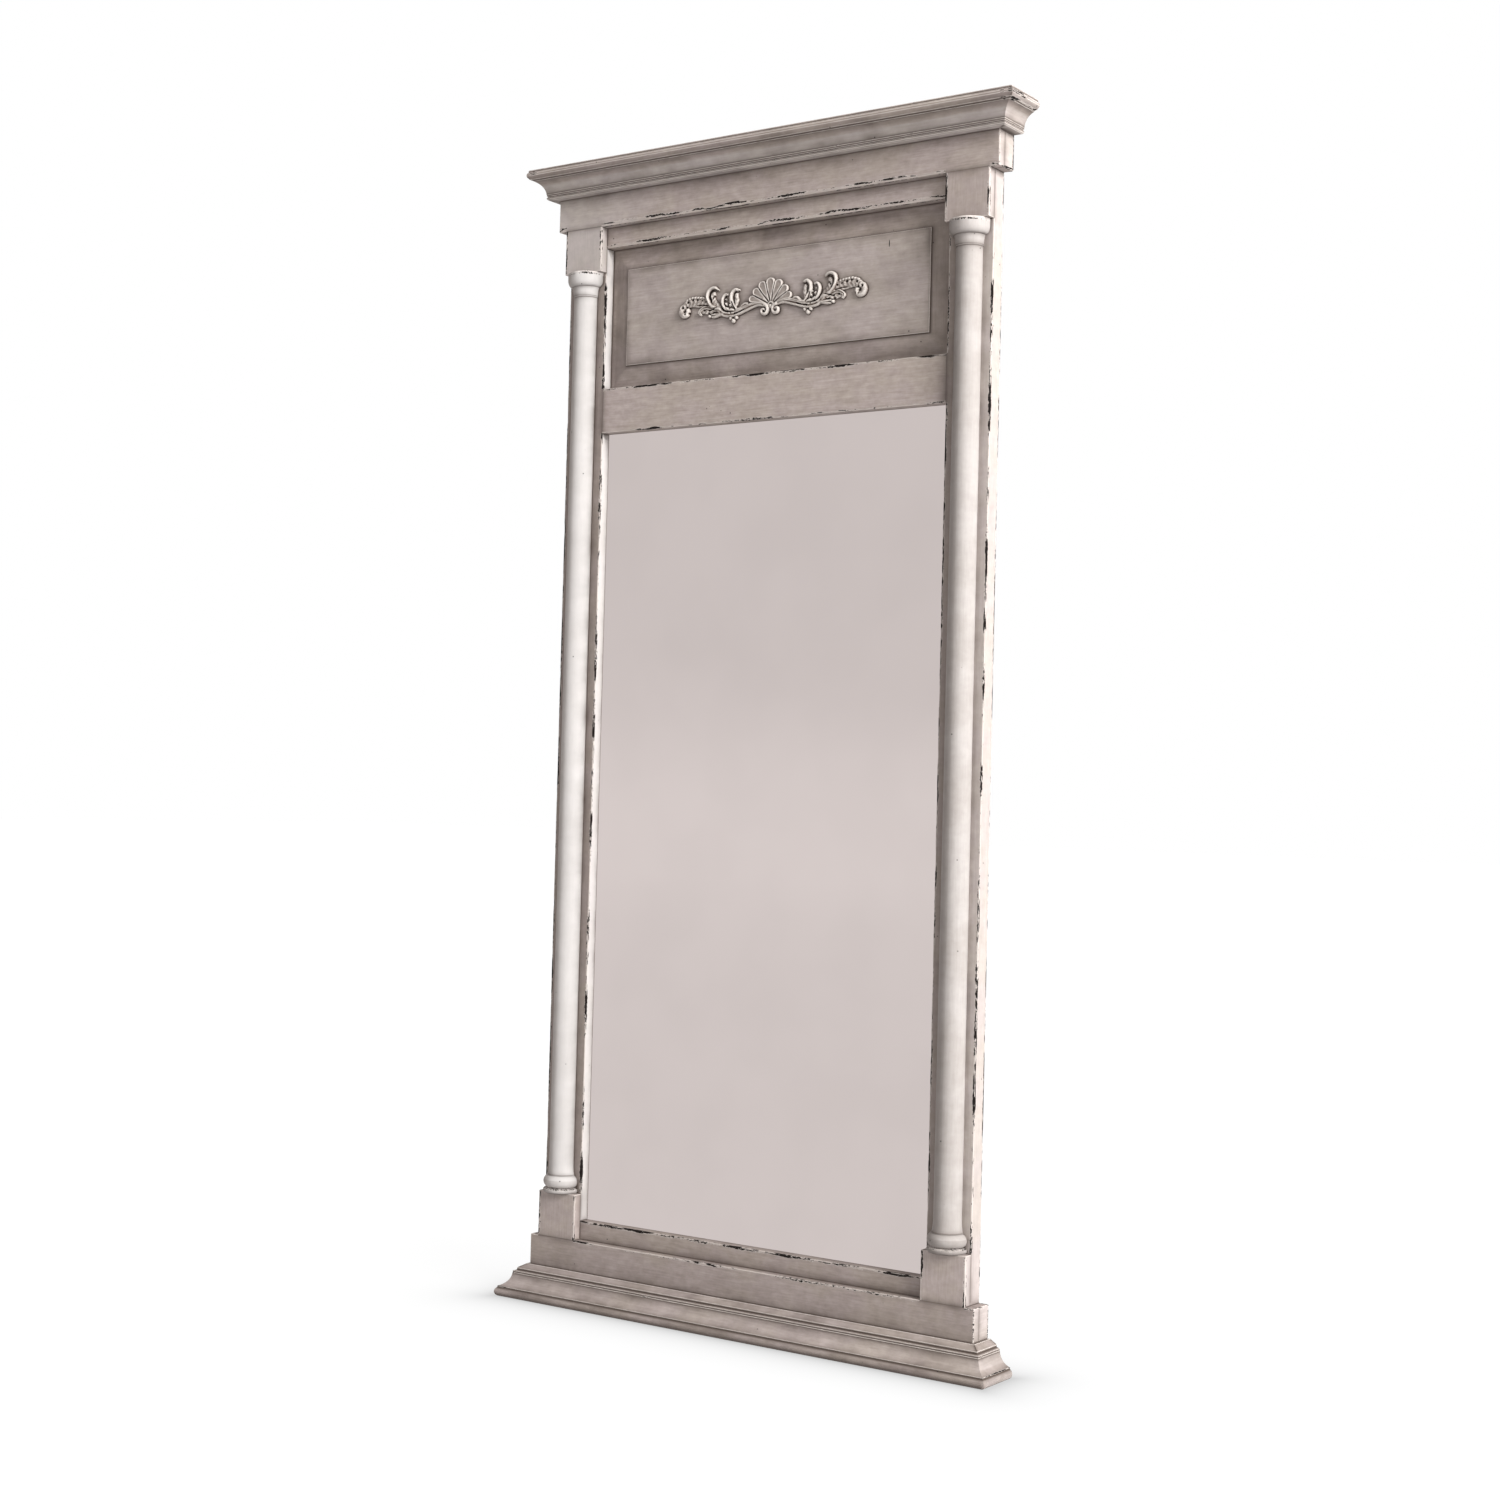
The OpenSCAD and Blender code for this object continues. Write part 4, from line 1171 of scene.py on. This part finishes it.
class Relief:
    """Heights over the panel's field on a square grid, built up member by member."""

    def __init__(self, node, grid, wider=0):
        low, high = (np.array(c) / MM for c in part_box(node))
        middle = panel_middle.z / MM
        self.x = np.arange(low[0] - wider - 2, high[0] + 2 + grid, grid)
        self.z = np.arange(low[2] - middle - 2, high[2] - middle + 2 + grid, grid)
        self.height = np.full((len(self.z), len(self.x)), SUNK)

    def add(self, line, half, rise, section):
        """A member along a line; half widths and rises run evenly through their values."""
        line = np.asarray(line, float)
        run = arc_lengths(line)
        half, rise = spread(half, run / run[-1]), spread(rise, run / run[-1])
        margin = half.max() + 1.5
        i, j = (np.flatnonzero((grid > way.min() - margin) & (grid < way.max() + margin))
                for grid, way in zip((self.x, self.z), line.T))
        across, up = np.meshgrid(self.x[i], self.z[j])
        away = np.hypot(across[..., None] - line[:, 0], up[..., None] - line[:, 1]) / half
        nearest = away.argmin(2)
        u = np.take_along_axis(away, nearest[..., None], 2)[..., 0]
        raised = section(np.minimum(u, 1), run[nearest]) * rise[nearest]
        member = np.where(u <= 1, raised, np.maximum(SUNK, (1 - u) * half[nearest] * FLANK))
        patch = np.ix_(j, i)
        old = self.height[patch]
        near = np.maximum(0, 1 - np.abs(old - member) / SEAM)
        swell = SEAM_RISE * near * near * (old > 0) * (member > 0)
        self.height[patch] = np.maximum(old, member) + swell

    def carve(self, line, half, depth):
        """A groove, or a pit where the line is short, sunk into what is there."""
        if len(line) > 2:
            line = smooth_line(line)
        across, up = np.meshgrid(self.x, self.z)
        away = np.full(across.shape, np.inf)
        for x, z in line:
            away = np.minimum(away, np.hypot(across - x, up - z))
        sunk = np.maximum(self.height - depth * np.exp(-(away / half) ** 2), BED)
        self.height = np.where(self.height > BED, sunk, self.height)

    def hollowness(self, reach):
        """How far each point lies below its surroundings, in mm."""
        height = np.maximum(self.height, 0)
        count = max(1, int(reach / (self.x[1] - self.x[0])))
        soft = height.copy()
        for axis in (0, 1, 0, 1):
            kernel = np.ones(2 * count + 1) / (2 * count + 1)
            soft = np.apply_along_axis(lambda row: np.convolve(row, kernel, "same"), axis, soft)
        return soft - height

    def places(self, chosen, lift, flip):
        """The places of the chosen grid points, each with its lift in mm over the field."""
        z, x = np.nonzero(chosen)
        return np.stack([self.x[x] * flip * MM, field_y - lift * MM,
                         panel_middle.z + self.z[z] * MM], 1)

    def footprint(self, flip):
        """The places on the panel's field that the relief covers."""
        covered = self.height > 0
        return self.places(covered, np.zeros(covered.sum()), flip)

    def mesh(self, name, flip):
        """The relief as a closed mesh that lies flat on the field."""
        keep = self.height > SUNK + 0.01
        cells = keep[:-1, :-1] | keep[1:, :-1] | keep[:-1, 1:] | keep[1:, 1:]
        used = np.zeros_like(keep)
        for rows, columns in ((0, 0), (0, 1), (1, 0), (1, 1)):
            used[rows:rows + cells.shape[0], columns:columns + cells.shape[1]] |= cells
        number = np.cumsum(used.ravel()).reshape(used.shape) - 1
        j, i = np.nonzero(cells)
        corners = ((0, 0), (0, 1), (1, 1), (1, 0))
        quads = np.stack([number[j + down, i + across] for down, across in corners], 1)
        if flip < 0:
            quads = quads[:, ::-1]
        mesh = bpy.data.meshes.new(name)
        mesh.from_pydata(self.places(used, self.height[used], flip).tolist(), [], quads.tolist())
        set_attribute(mesh, "hollow", self.hollowness(HOLLOW_REACH)[used])
        body = bmesh.new()
        body.from_mesh(mesh)
        flat_backed(body, field_y, 1e-7)
        return closed(body, mesh)


def ray(angle):
    """1 mm out from the shell's root, at an angle in degrees to the right of the upright."""
    return np.array([math.sin(math.radians(angle)), math.cos(math.radians(angle))])


def shell_relief(relief):
    """Seven flutes that fan out from the middle, with a fine dark groove between them."""
    root = np.array([0.0, -10.0])
    fan = ((0, 49.5, 9.4), (26, 48.5, 8.4), (50, 48.0, 8.0), (71, 48.5, 6.8))
    flutes = sorted({(side * angle, reach, half) for angle, reach, half in fan for side in (-1, 1)},
                    key=lambda flute: -abs(flute[0]))
    for angle, reach, half in flutes:
        line = [root + ray(angle) * s for s in np.linspace(5, reach - half, 40)]
        relief.add(line, [1.4, half * 0.55, half], [4.4, 6.2, 7.4, 7.2], petal)
    for angle in (-13.5, 13.5, -38.5, 38.5, -61, 61):
        relief.carve([root + ray(angle) * s for s in np.linspace(8, 39, 30)], 1.1, 4.5)
    relief.add([(-4, -11), (0, -12), (4, -11)], [3.0, 4.2, 3.0], [4.0, 6.0, 4.0], dome)


def scroll_relief(relief):
    """A stem from under the shell, curled leaves, and a tail that ends in a volute."""

    def curved(points, half, rise, section):
        relief.add(smooth_line(points), half, rise, section)

    curved([(112, -8), (125, 2), (143, 7), (161, 10), (176, 11), (188, 8)],
           [6.0, 8.5, 9.2, 8.8, 7.4], [5.2, 5.8, 6.0, 6.2, 6.6], lobed)
    curved([(140, 15), (152, 17.5), (164, 19), (176, 19), (187, 15.5)],
           [1.6, 2.8, 3.0, 3.2, 3.0], [5.2, 6.6, 7.0, 7.4, 7.2], beaded)
    relief.add(spiral((190.5, -3.5), 9.6, 6.4, 80, -195, 70), [6.0, 6.2, 5.8, 4.4],
               [7.2, 8.4, 8.6, 8.0], dome)

    curved([(130, -10), (141, -9), (151, -8)], [4.0, 5.0, 3.6], [4.6, 5.2, 4.6], lobed)
    curved([(122, -8), (134, -3), (143, -1), (151, -3), (157.5, -8.5), (155, -13)],
           [3.8, 4.4, 4.4, 4.0, 3.4, 2.6], [6.0, 7.0, 7.4, 7.6, 7.8, 7.0], grooved)
    curved([(104, -16), (118, -16.5), (129, -15.5)], [4.6, 4.0, 1.8], [6.8, 6.6, 6.0], dome)
    curved([(112, -17), (122, -20), (129, -20)], [3.4, 3.0, 2.0], [6.4, 6.4, 6.0], dome)
    relief.add([(134, -18), (134.5, -18)], [3.2, 3.2], [7.6, 7.6], dome)

    curved([(111, -10), (123, 1), (129, 11), (128, 23)], [6.5, 8.0, 7.2, 5.0],
           [6.6, 6.4, 6.0, 6.2], lobed)
    curved([(111, -8), (129, 0), (137, 10), (140, 19), (138, 28), (131, 33), (123, 33),
            (117.5, 28)], [4.6, 4.4, 4.2, 4.0, 4.0, 3.8, 3.4, 2.8],
           [7.6, 8.4, 8.8, 8.8, 8.8, 8.4, 8.0, 7.4], dome)

    curved([(78, -6), (74.5, 6), (75.5, 17)], [4.0, 4.6, 3.2], [6.2, 6.6, 6.0], lobed)
    curved([(76, -10), (84, 1), (87, 11), (85, 20), (78, 25.5), (71, 23.5)],
           [4.2, 4.4, 4.2, 4.0, 3.6, 2.8], [7.4, 8.0, 8.2, 8.0, 7.8, 7.0], dome)

    relief.add([(85, -10), (88.5, -2), (90, 5)], [3.0, 3.2, 1.8], [6.6, 7.2, 6.0], dome)
    relief.add([(95, -8), (97.5, 1), (98.5, 9.5)], [3.0, 3.4, 2.0], [6.8, 7.4, 6.2], dome)
    curved([(98, -10), (104, -1), (106, 7), (104.5, 14), (100, 18.5), (95, 18)],
           [3.6, 3.8, 3.6, 3.4, 3.0, 2.2], [7.2, 7.8, 8.0, 7.8, 7.4, 6.6], dome)
    curved([(70, -17), (64, -9), (58, -3.5), (51, -3), (49, -7)], [4.0, 3.8, 3.4, 3.0, 2.4],
           [6.8, 6.8, 6.6, 6.4, 6.0], dome)

    curved([(34, -3), (52, -6.5), (70, -11.5), (88, -10.5), (104, -4)],
           [1.6, 2.8, 3.4, 3.4, 2.6], [6.0, 7.0, 7.4, 7.6, 7.2], dome)
    stem = smooth_line([(12, -9.8), (24, -6.5), (36, -7.5), (56, -13), (80, -19.5),
                        (101, -17.5), (114, -9)])
    relief.add(stem, [3.8, 4.6, 5.2, 5.6, 5.8, 5.6, 5.0],
               [7.0, 7.6, 8.0, 8.4, 8.6, 8.6, 8.0], grooved)
    relief.add(spiral((13.5, -19.5), 9.6, 1.4, 96, 505, 90), [4.4, 3.8, 3.0, 2.4],
               [7.4, 8.2, 8.6, 8.8], dome)
    for x, z, size in ((74.5, -25.5, 3.8), (87, -25.5, 3.8), (81, -31, 4.6)):
        relief.add([(x, z), (x + 0.4, z - 0.4)], [size, size], [6.8, 6.6], dome)

    grooves = (
        ([(118, 26), (122.5, 28.5), (129, 28), (133.5, 24), (135, 17), (131.5, 9)], 2.1, 6.5),
        ([(121, 15), (125, 18), (128, 14)], 1.5, 5.0),
        ([(74, 20.5), (79, 18.5), (81.5, 12), (79, 4)], 1.4, 5.0),
        ([(96, 13.5), (101, 11), (101.5, 4), (98.5, -4)], 1.2, 4.5),
        ([(92.5, 4), (92, -3), (89.5, -9)], 1.4, 5.0),
        ([(85, 3), (81.5, -5), (77, -11)], 1.6, 5.5),
        ([(94, -13.5), (102, -10), (108, -3), (110.5, 5)], 1.5, 5.0),
        ([(58, -13), (70, -17), (78, -17.5)], 1.0, 3.2),
        ([(79, -19), (87, -16.5)], 1.2, 5.0),
        ([(118, -3), (127, -5.5), (136, -7.5)], 1.3, 3.6),
        ([(139, 1.5), (150, 4), (163, 4.5)], 1.3, 2.6),
    )
    for line, half, depth in grooves:
        relief.carve(line, half, depth)
    pits = ((195.5, 3.5, 2.3), (181, -8.5, 2.2), (189, -9, 1.5), (186.5, 3, 1.8),
            (162.5, 14.5, 1.8), (172.5, 16, 1.6), (184, 12, 1.9), (152, 12.5, 1.5), (143, 10, 1.4),
            (70.5, 22, 1.7), (137.3, -13, 2.0), (147, -6, 1.4), (117, 27, 1.8), (13.2, -20, 1.3))
    for x, z, size in pits:
        relief.carve([(x, z)], size, 7.0)


carved = []


def reliefs():
    """The shell and both scrolls as (relief, CAD node, side), made when first asked for."""
    if carved:
        return carved
    grid = bpy.context.scene.mirror_carving.grid / MM
    shell, scroll = Relief("shell_onlay", grid), Relief("scroll_onlay_right", grid, wider=1)
    shell_relief(shell)
    scroll_relief(scroll)
    j, i = (np.clip(np.round((own - other[0]) / grid).astype(int), 0, len(other) - 1)
            for own, other in ((scroll.z, shell.z), (scroll.x, shell.x)))
    inside = ((scroll.x <= shell.x[-1])[None] & (scroll.z >= shell.z[0])[:, None]
              & (scroll.z <= shell.z[-1])[:, None])
    under = inside & (shell.height[np.ix_(j, i)] > scroll.height - 0.01)
    scroll.height[under | (scroll.x < 0.7)[None]] = SUNK
    carved.extend([(shell, "shell_onlay", 1), (scroll, "scroll_onlay_right", 1),
                   (scroll, "scroll_onlay_left", -1)])
    return carved


class MIRROR_OT_carving(bpy.types.Operator):
    """Shell and scrolls, carved as reliefs on the panel"""

    bl_idname = "mirror.carving"
    bl_label = "Carving"

    def execute(self, context):
        for relief, node, flip in reliefs():
            mesh = relief.mesh(node + "_carved", flip)
            give_finishes(mesh, ("carving_paint",))
            place_piece(node + "_carved", mesh, [node], sharp=60)
        return {"FINISHED"}


# Glass and back

def bevelled(node, name, width, finishes, pick=None, body="frame"):
    """A CAD node's copy with narrow bevels on its sharp edges."""
    copy = merged(node)
    sharp = [e for e in copy.edges
             if len(e.link_faces) == 2 and e.calc_face_angle(0) > math.radians(50)]
    bmesh.ops.bevel(copy, geom=sharp, offset=width, segments=2, profile=0.5, affect="EDGES",
                    clamp_overlap=True)
    mesh = closed(copy, bpy.data.meshes.new(name))
    give_finishes(mesh, finishes, pick)
    return place_piece(name, mesh, [node], body)


class MIRROR_OT_glass(bpy.types.Operator):
    """Silvered glass with ground edges"""

    bl_idname = "mirror.glass"
    bl_label = "Glass"

    def execute(self, context):
        def pick(normals):
            return (normals[:, 1] > -0.9).astype(int)

        bevelled("mirror_glass", "mirror_glass_ground", context.scene.mirror_glass.edge,
                 ("silvered_glass", "glass_backing"), pick)
        return {"FINISHED"}


def islands(node):
    """The boxes of a node's separate solids."""
    body = opened(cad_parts[node].data)
    left, boxes = set(body.verts), []
    while left:
        reached, todo = set(), [min(left, key=lambda v: v.index)]
        while todo:
            vertex = todo.pop()
            if vertex not in reached:
                reached.add(vertex)
                todo.extend(e.other_vert(vertex) for e in vertex.link_edges)
        left -= reached
        points = np.array([v.co for v in reached])
        boxes.append((points.min(0), points.max(0)))
    body.free()
    return sorted(boxes, key=lambda b: (round(b[0][2], 4), round(b[0][0], 4)))


SCREW_SIDES = 24


def lathe(section):
    """A closed bmesh turned round y from a chain of (radius, height); radius 0 closes an end."""
    body, rings = bmesh.new(), []
    for radius, height in section:
        turns = [2 * math.pi * k / SCREW_SIDES for k in range(SCREW_SIDES if radius else 1)]
        rings.append([body.verts.new((radius * math.cos(t), height, radius * math.sin(t)))
                      for t in turns])
    for upper, lower in zip(rings, rings[1:]):
        for k in range(SCREW_SIDES):
            n = (k + 1) % SCREW_SIDES
            if len(upper) == 1:
                body.faces.new((upper[0], lower[k], lower[n]))
            elif len(lower) == 1:
                body.faces.new((upper[n], upper[k], lower[0]))
            else:
                body.faces.new((upper[k], lower[k], lower[n], upper[n]))
    bmesh.ops.recalc_face_normals(body, faces=body.faces)
    return body


def cross(radius, depth):
    """A bmesh of two tapering blades that cut a cross recess."""
    body = bmesh.new()
    for turn in (0.0, math.pi / 2):
        blade = bmesh.ops.create_cube(body, size=1.0)["verts"]
        for vertex in blade:
            x, y, z = vertex.co
            taper = 1.0 if y > 0 else 0.55
            vertex.co = Vector((x * radius * 1.05 * taper, y * depth * 2, z * radius * 0.2))
        bmesh.ops.rotate(body, verts=blade, cent=(0, 0, 0),
                         matrix=Quaternion((0, 1, 0), turn).to_matrix())
    return body


def screw_shape(name, radius, rise, shank, reach, recess, raised):
    """One screw with its head's face at y = 0 and a cross recess in it."""
    if raised:
        section = [(0.0, 0.0), (radius * 0.55, -0.12 * rise), (radius * 0.88, -0.45 * rise),
                   (radius, -rise), (shank, -rise), (shank, -reach), (0.0, -reach - shank)]
    else:
        section = [(0.0, 0.0), (radius * 0.97, 0.0), (radius, -0.2 * rise), (shank, -rise),
                   (shank, -reach + 2 * shank), (0.0, -reach)]
    screw = added(name, closed(lathe(section), bpy.data.meshes.new(name)))
    tool = added("cross", closed(cross(radius, recess), bpy.data.meshes.new("cross")))
    modifier = screw.modifiers.new("recess", "BOOLEAN")
    modifier.operation, modifier.object, modifier.solver = "DIFFERENCE", tool, "EXACT"
    modifier.use_self = True
    made = evaluated(screw)
    screw.modifiers.remove(modifier)
    screw.data = made
    bpy.data.objects.remove(tool)
    return screw


def scatter_tree():
    """Geometry nodes that set one screw on every point, each turned at random."""
    tree = Growth("set_screws", Points="Geometry", Screw="Object", Seed="Int", Finish="Material")
    points, screw, seed, material = tree.inputs
    shape = tree.add("GeometryNodeObjectInfo", {"Object": screw, "As Instance": True},
                     "Geometry")
    turn = tree.add("FunctionNodeRandomValue",
                    {"Min": (0.0, 0.0, 0.0), "Max": (0.0, 2 * math.pi, 0.0), "Seed": seed},
                    "Value", data_type="FLOAT_VECTOR")
    placed = tree.add("GeometryNodeInstanceOnPoints",
                      {"Points": points, "Instance": shape, "Rotation": turn})
    return tree.finished(placed, material)


HEAD_RISE = 2.0 * MM  # height of a screw's head
SHANK = 0.44  # a shank's radius as a share of the head's


def screws(node, group, raised, seed, recess):
    """The screws of one node, each at its solid's place."""
    boxes = islands(node)
    low, high = boxes[0]
    radius = (high[0] - low[0]) / 2
    shape = screw_shape(node + "_shape", radius, HEAD_RISE, radius * SHANK, high[1] - low[1],
                        recess, raised)
    points = bpy.data.meshes.new(node + "_points")
    points.from_pydata([((a[0] + b[0]) / 2, b[1], (a[2] + b[2]) / 2) for a, b in boxes], [], [])
    mesh = grown(group, points, {"Screw": shape, "Seed": seed, "Finish": finish_of("plated_steel")})
    bpy.data.objects.remove(shape)
    place_piece(node + "_recessed", mesh, [node], sharp=30).visible_glossy = False


class MIRROR_OT_back(bpy.types.Operator):
    """Back board, screws, hangers and pads"""

    bl_idname = "mirror.back"
    bl_label = "Back"

    def execute(self, context):
        sizes = context.scene.mirror_back
        group = scatter_tree()
        screws("back_board_screws", group, False, 3, sizes.recess)
        screws("hanger_screws", group, True, 5, sizes.recess)
        for side in ("left", "right"):
            bevelled(f"hanger_strap_{side}", f"hanger_strap_{side}_pressed", 0.3 * MM,
                     ("plated_steel",))
            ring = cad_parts[f"hanger_ring_{side}"]
            ring.material_slots[0].material = finish_of("plated_steel")
        bevelled("wall_pads", "wall_pads_moulded", 0.6 * MM, ("pad_rubber",))
        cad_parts["back_board"].material_slots[0].material = finish_of("hardboard")
        return {"FINISHED"}


# Stage

def aimed(location, target, roll=0.0):
    """A turn that makes a camera or a lamp at a place look at a target."""
    turn = (Vector(target) - Vector(location)).to_track_quat("-Z", "Y")
    return turn @ Quaternion((0, 0, 1), roll)


def direction(azimuth, elevation):
    """The way from the mirror to what stands at an azimuth and an elevation."""
    level = math.cos(elevation)
    return Vector((math.sin(azimuth) * level, -math.cos(azimuth) * level, math.sin(elevation)))


def lamp(name, azimuth, elevation, distance, size, power, target):
    """A square lamp that looks at a target and isn't seen in the glass."""
    light = bpy.data.lights.new(name, "AREA")
    light.size, light.energy, light.color = size, power, (0.97, 0.99, 1.0)
    item = added(name, light)
    way = direction(math.radians(azimuth), math.radians(elevation))
    item.location = Vector(target) + way * distance
    item.rotation_mode = "QUATERNION"
    item.rotation_quaternion = aimed(item.location, target)
    item.visible_glossy = False


GLASS_VIEW = 0.78  # brightness of the studio as the glass shows it, at the horizon
GLASS_TINT = (0.935, 0.838, 0.818)  # colour of the studio's far side, as the glass shows it
WHITE = (1.0, 1.0, 1.0)
FLOOR_REACH = 40  # m, half the floor's width
AIM_Y = -5.5 * MM  # depth of the point that the camera looks at
LENS_SHIFT = 0.006, -0.02  # the camera's shift to the right and up, as shares of the picture


def ray_kinds(tree):
    """1 where a ray comes straight from the camera or through something, and where it's glossy."""
    rays = tree.add("ShaderNodeLightPath").socket.node
    camera, glossy, through = (Value(tree, rays.outputs[n])
                               for n in ("Is Camera Ray", "Is Glossy Ray", "Is Transmission Ray"))
    return camera.maximum(through), glossy


def studio_world(ambient):
    """White to the camera, pale in the glass, and an even light on everything."""
    world = bpy.data.worlds.new("studio")
    world.use_nodes = True
    bpy.context.scene.world = world
    tree = Maker(world.node_tree)
    seen, glossy = ray_kinds(tree)
    height = tree.add("ShaderNodeSeparateXYZ",
                      {"Vector": tree.add("ShaderNodeTexCoord", output="Generated")}, "Z")
    pale = GLASS_VIEW - height.step(0.0, 0.2) * 0.09
    strength = seen + (1 - seen) * (glossy * pale + (1 - glossy) * ambient)
    lit = tree.mix(glossy, (1.02, 0.995, 0.98), GLASS_TINT)
    background = world.node_tree.nodes["Background"]
    tree.plug(background.inputs["Strength"], strength)
    tree.plug(background.inputs["Color"], tree.mix(seen, lit, WHITE))


def floor_material():
    """A white floor that keeps the object's shadow, with a painted shadow close to the base."""
    material = bpy.data.materials.new("studio_floor")
    material.use_nodes = True
    nodes = material.node_tree.nodes
    nodes.remove(nodes["Principled BSDF"])
    tree = Maker(material.node_tree)
    seen, glossy = ray_kinds(tree)
    place = tree.add("ShaderNodeTexCoord", output="Object")
    outside = place.vector("ABSOLUTE").vector("SUBTRACT", tuple(cad_box[1]))
    away = outside.vector("MAXIMUM", (0, 0, 0)).norm()
    # Painted shadow on the floor close to the base.
    painted_contact_shadow = away.fall(0.030) * 0.18 + away.fall(0.07) * 0.18
    bright = 0.95 - painted_contact_shadow + away.step(0.25, 1.3) * 0.07
    far = away.step(0.5, 12.0) * 0.05 + (GLASS_VIEW - 0.05)
    matt, plain = (tree.add("ShaderNodeBsdfDiffuse", {"Color": (grey,) * 3})
                   for grey in (0.055, 0.7))
    glow, mirrored = (tree.add("ShaderNodeEmission", {"Color": colour, "Strength": strength})
                      for colour, strength in ((WHITE, bright), (GLASS_TINT, far)))
    shown = tree.add("ShaderNodeAddShader", {0: matt, 1: glow})
    direct = tree.add("ShaderNodeMixShader", {0: seen, 1: plain, 2: shown})
    both = tree.add("ShaderNodeMixShader", {0: glossy, 1: direct, 2: mirrored})
    tree.plug(nodes["Material Output"].inputs["Surface"], both)
    return material


class MIRROR_OT_stage(bpy.types.Operator):
    """Camera, lamp, world and floor"""

    bl_idname = "mirror.stage"
    bl_label = "Stage"

    def execute(self, context):
        scene, sizes = context.scene, context.scene.mirror_stage
        camera = scene.camera = added("camera", bpy.data.cameras.new("camera"))
        target = Vector((sizes.aim_x, AIM_Y, sizes.aim_z))
        camera.location = target + direction(sizes.azimuth, sizes.elevation) * sizes.distance
        camera.rotation_mode = "QUATERNION"
        camera.rotation_quaternion = aimed(camera.location, target, sizes.roll)
        camera.data.lens, camera.data.sensor_width = sizes.lens, 36.0
        camera.data.shift_x, camera.data.shift_y = LENS_SHIFT
        lamp("key", azimuth=76, elevation=25, distance=9.0, size=4.6, power=sizes.key,
             target=(0, 0, 1.1))
        studio_world(sizes.ambient)
        mesh = bpy.data.meshes.new("floor")
        corners = [(x * FLOOR_REACH, y * FLOOR_REACH, 0)
                   for x, y in ((-1, -1), (1, -1), (1, 1), (-1, 1))]
        mesh.from_pydata(corners, [], [(0, 1, 2, 3)])
        mesh.materials.append(floor_material())
        ground = added("floor", mesh)
        scene.view_settings.view_transform = "Standard"
        return {"FINISHED"}


class MIRROR_PT_panel(bpy.types.Panel):
    """Lists the steps and their sizes and colours"""

    bl_idname = "MIRROR_PT_panel"
    bl_label = "Floor mirror"
    bl_space_type = "VIEW_3D"
    bl_region_type = "UI"
    bl_category = "Mirror"

    def draw(self, context):
        for step in STEPS:
            self.layout.operator(step.bl_idname)
        for name, group in SETTINGS.items():
            box = self.layout.box()
            for field in group.__annotations__:
                box.prop(getattr(context.scene, name), field)


SETTINGS = {"mirror_wear": WearSettings, "mirror_paint": PaintSettings,
            "mirror_column": ColumnSettings, "mirror_carving": CarvingSettings,
            "mirror_glass": GlassSettings, "mirror_back": BackSettings,
            "mirror_stage": StageSettings}
STEPS = (MIRROR_OT_stage, MIRROR_OT_boards, MIRROR_OT_mouldings, MIRROR_OT_panel, MIRROR_OT_columns,
         MIRROR_OT_carving, MIRROR_OT_glass, MIRROR_OT_back)


def register():
    for item in (*SETTINGS.values(), *STEPS, MIRROR_PT_panel):
        bpy.utils.register_class(item)
    for name, group in SETTINGS.items():
        setattr(bpy.types.Scene, name, PointerProperty(type=group))


def unregister():
    for name in SETTINGS:
        delattr(bpy.types.Scene, name)
    for item in (MIRROR_PT_panel, *reversed(STEPS), *reversed(SETTINGS.values())):
        bpy.utils.unregister_class(item)


def main():
    """Builds every piece."""
    register()
    for step in STEPS:
        group, name = step.bl_idname.split(".")
        getattr(getattr(bpy.ops, group), name)()


if __name__ == "__main__":
    main()
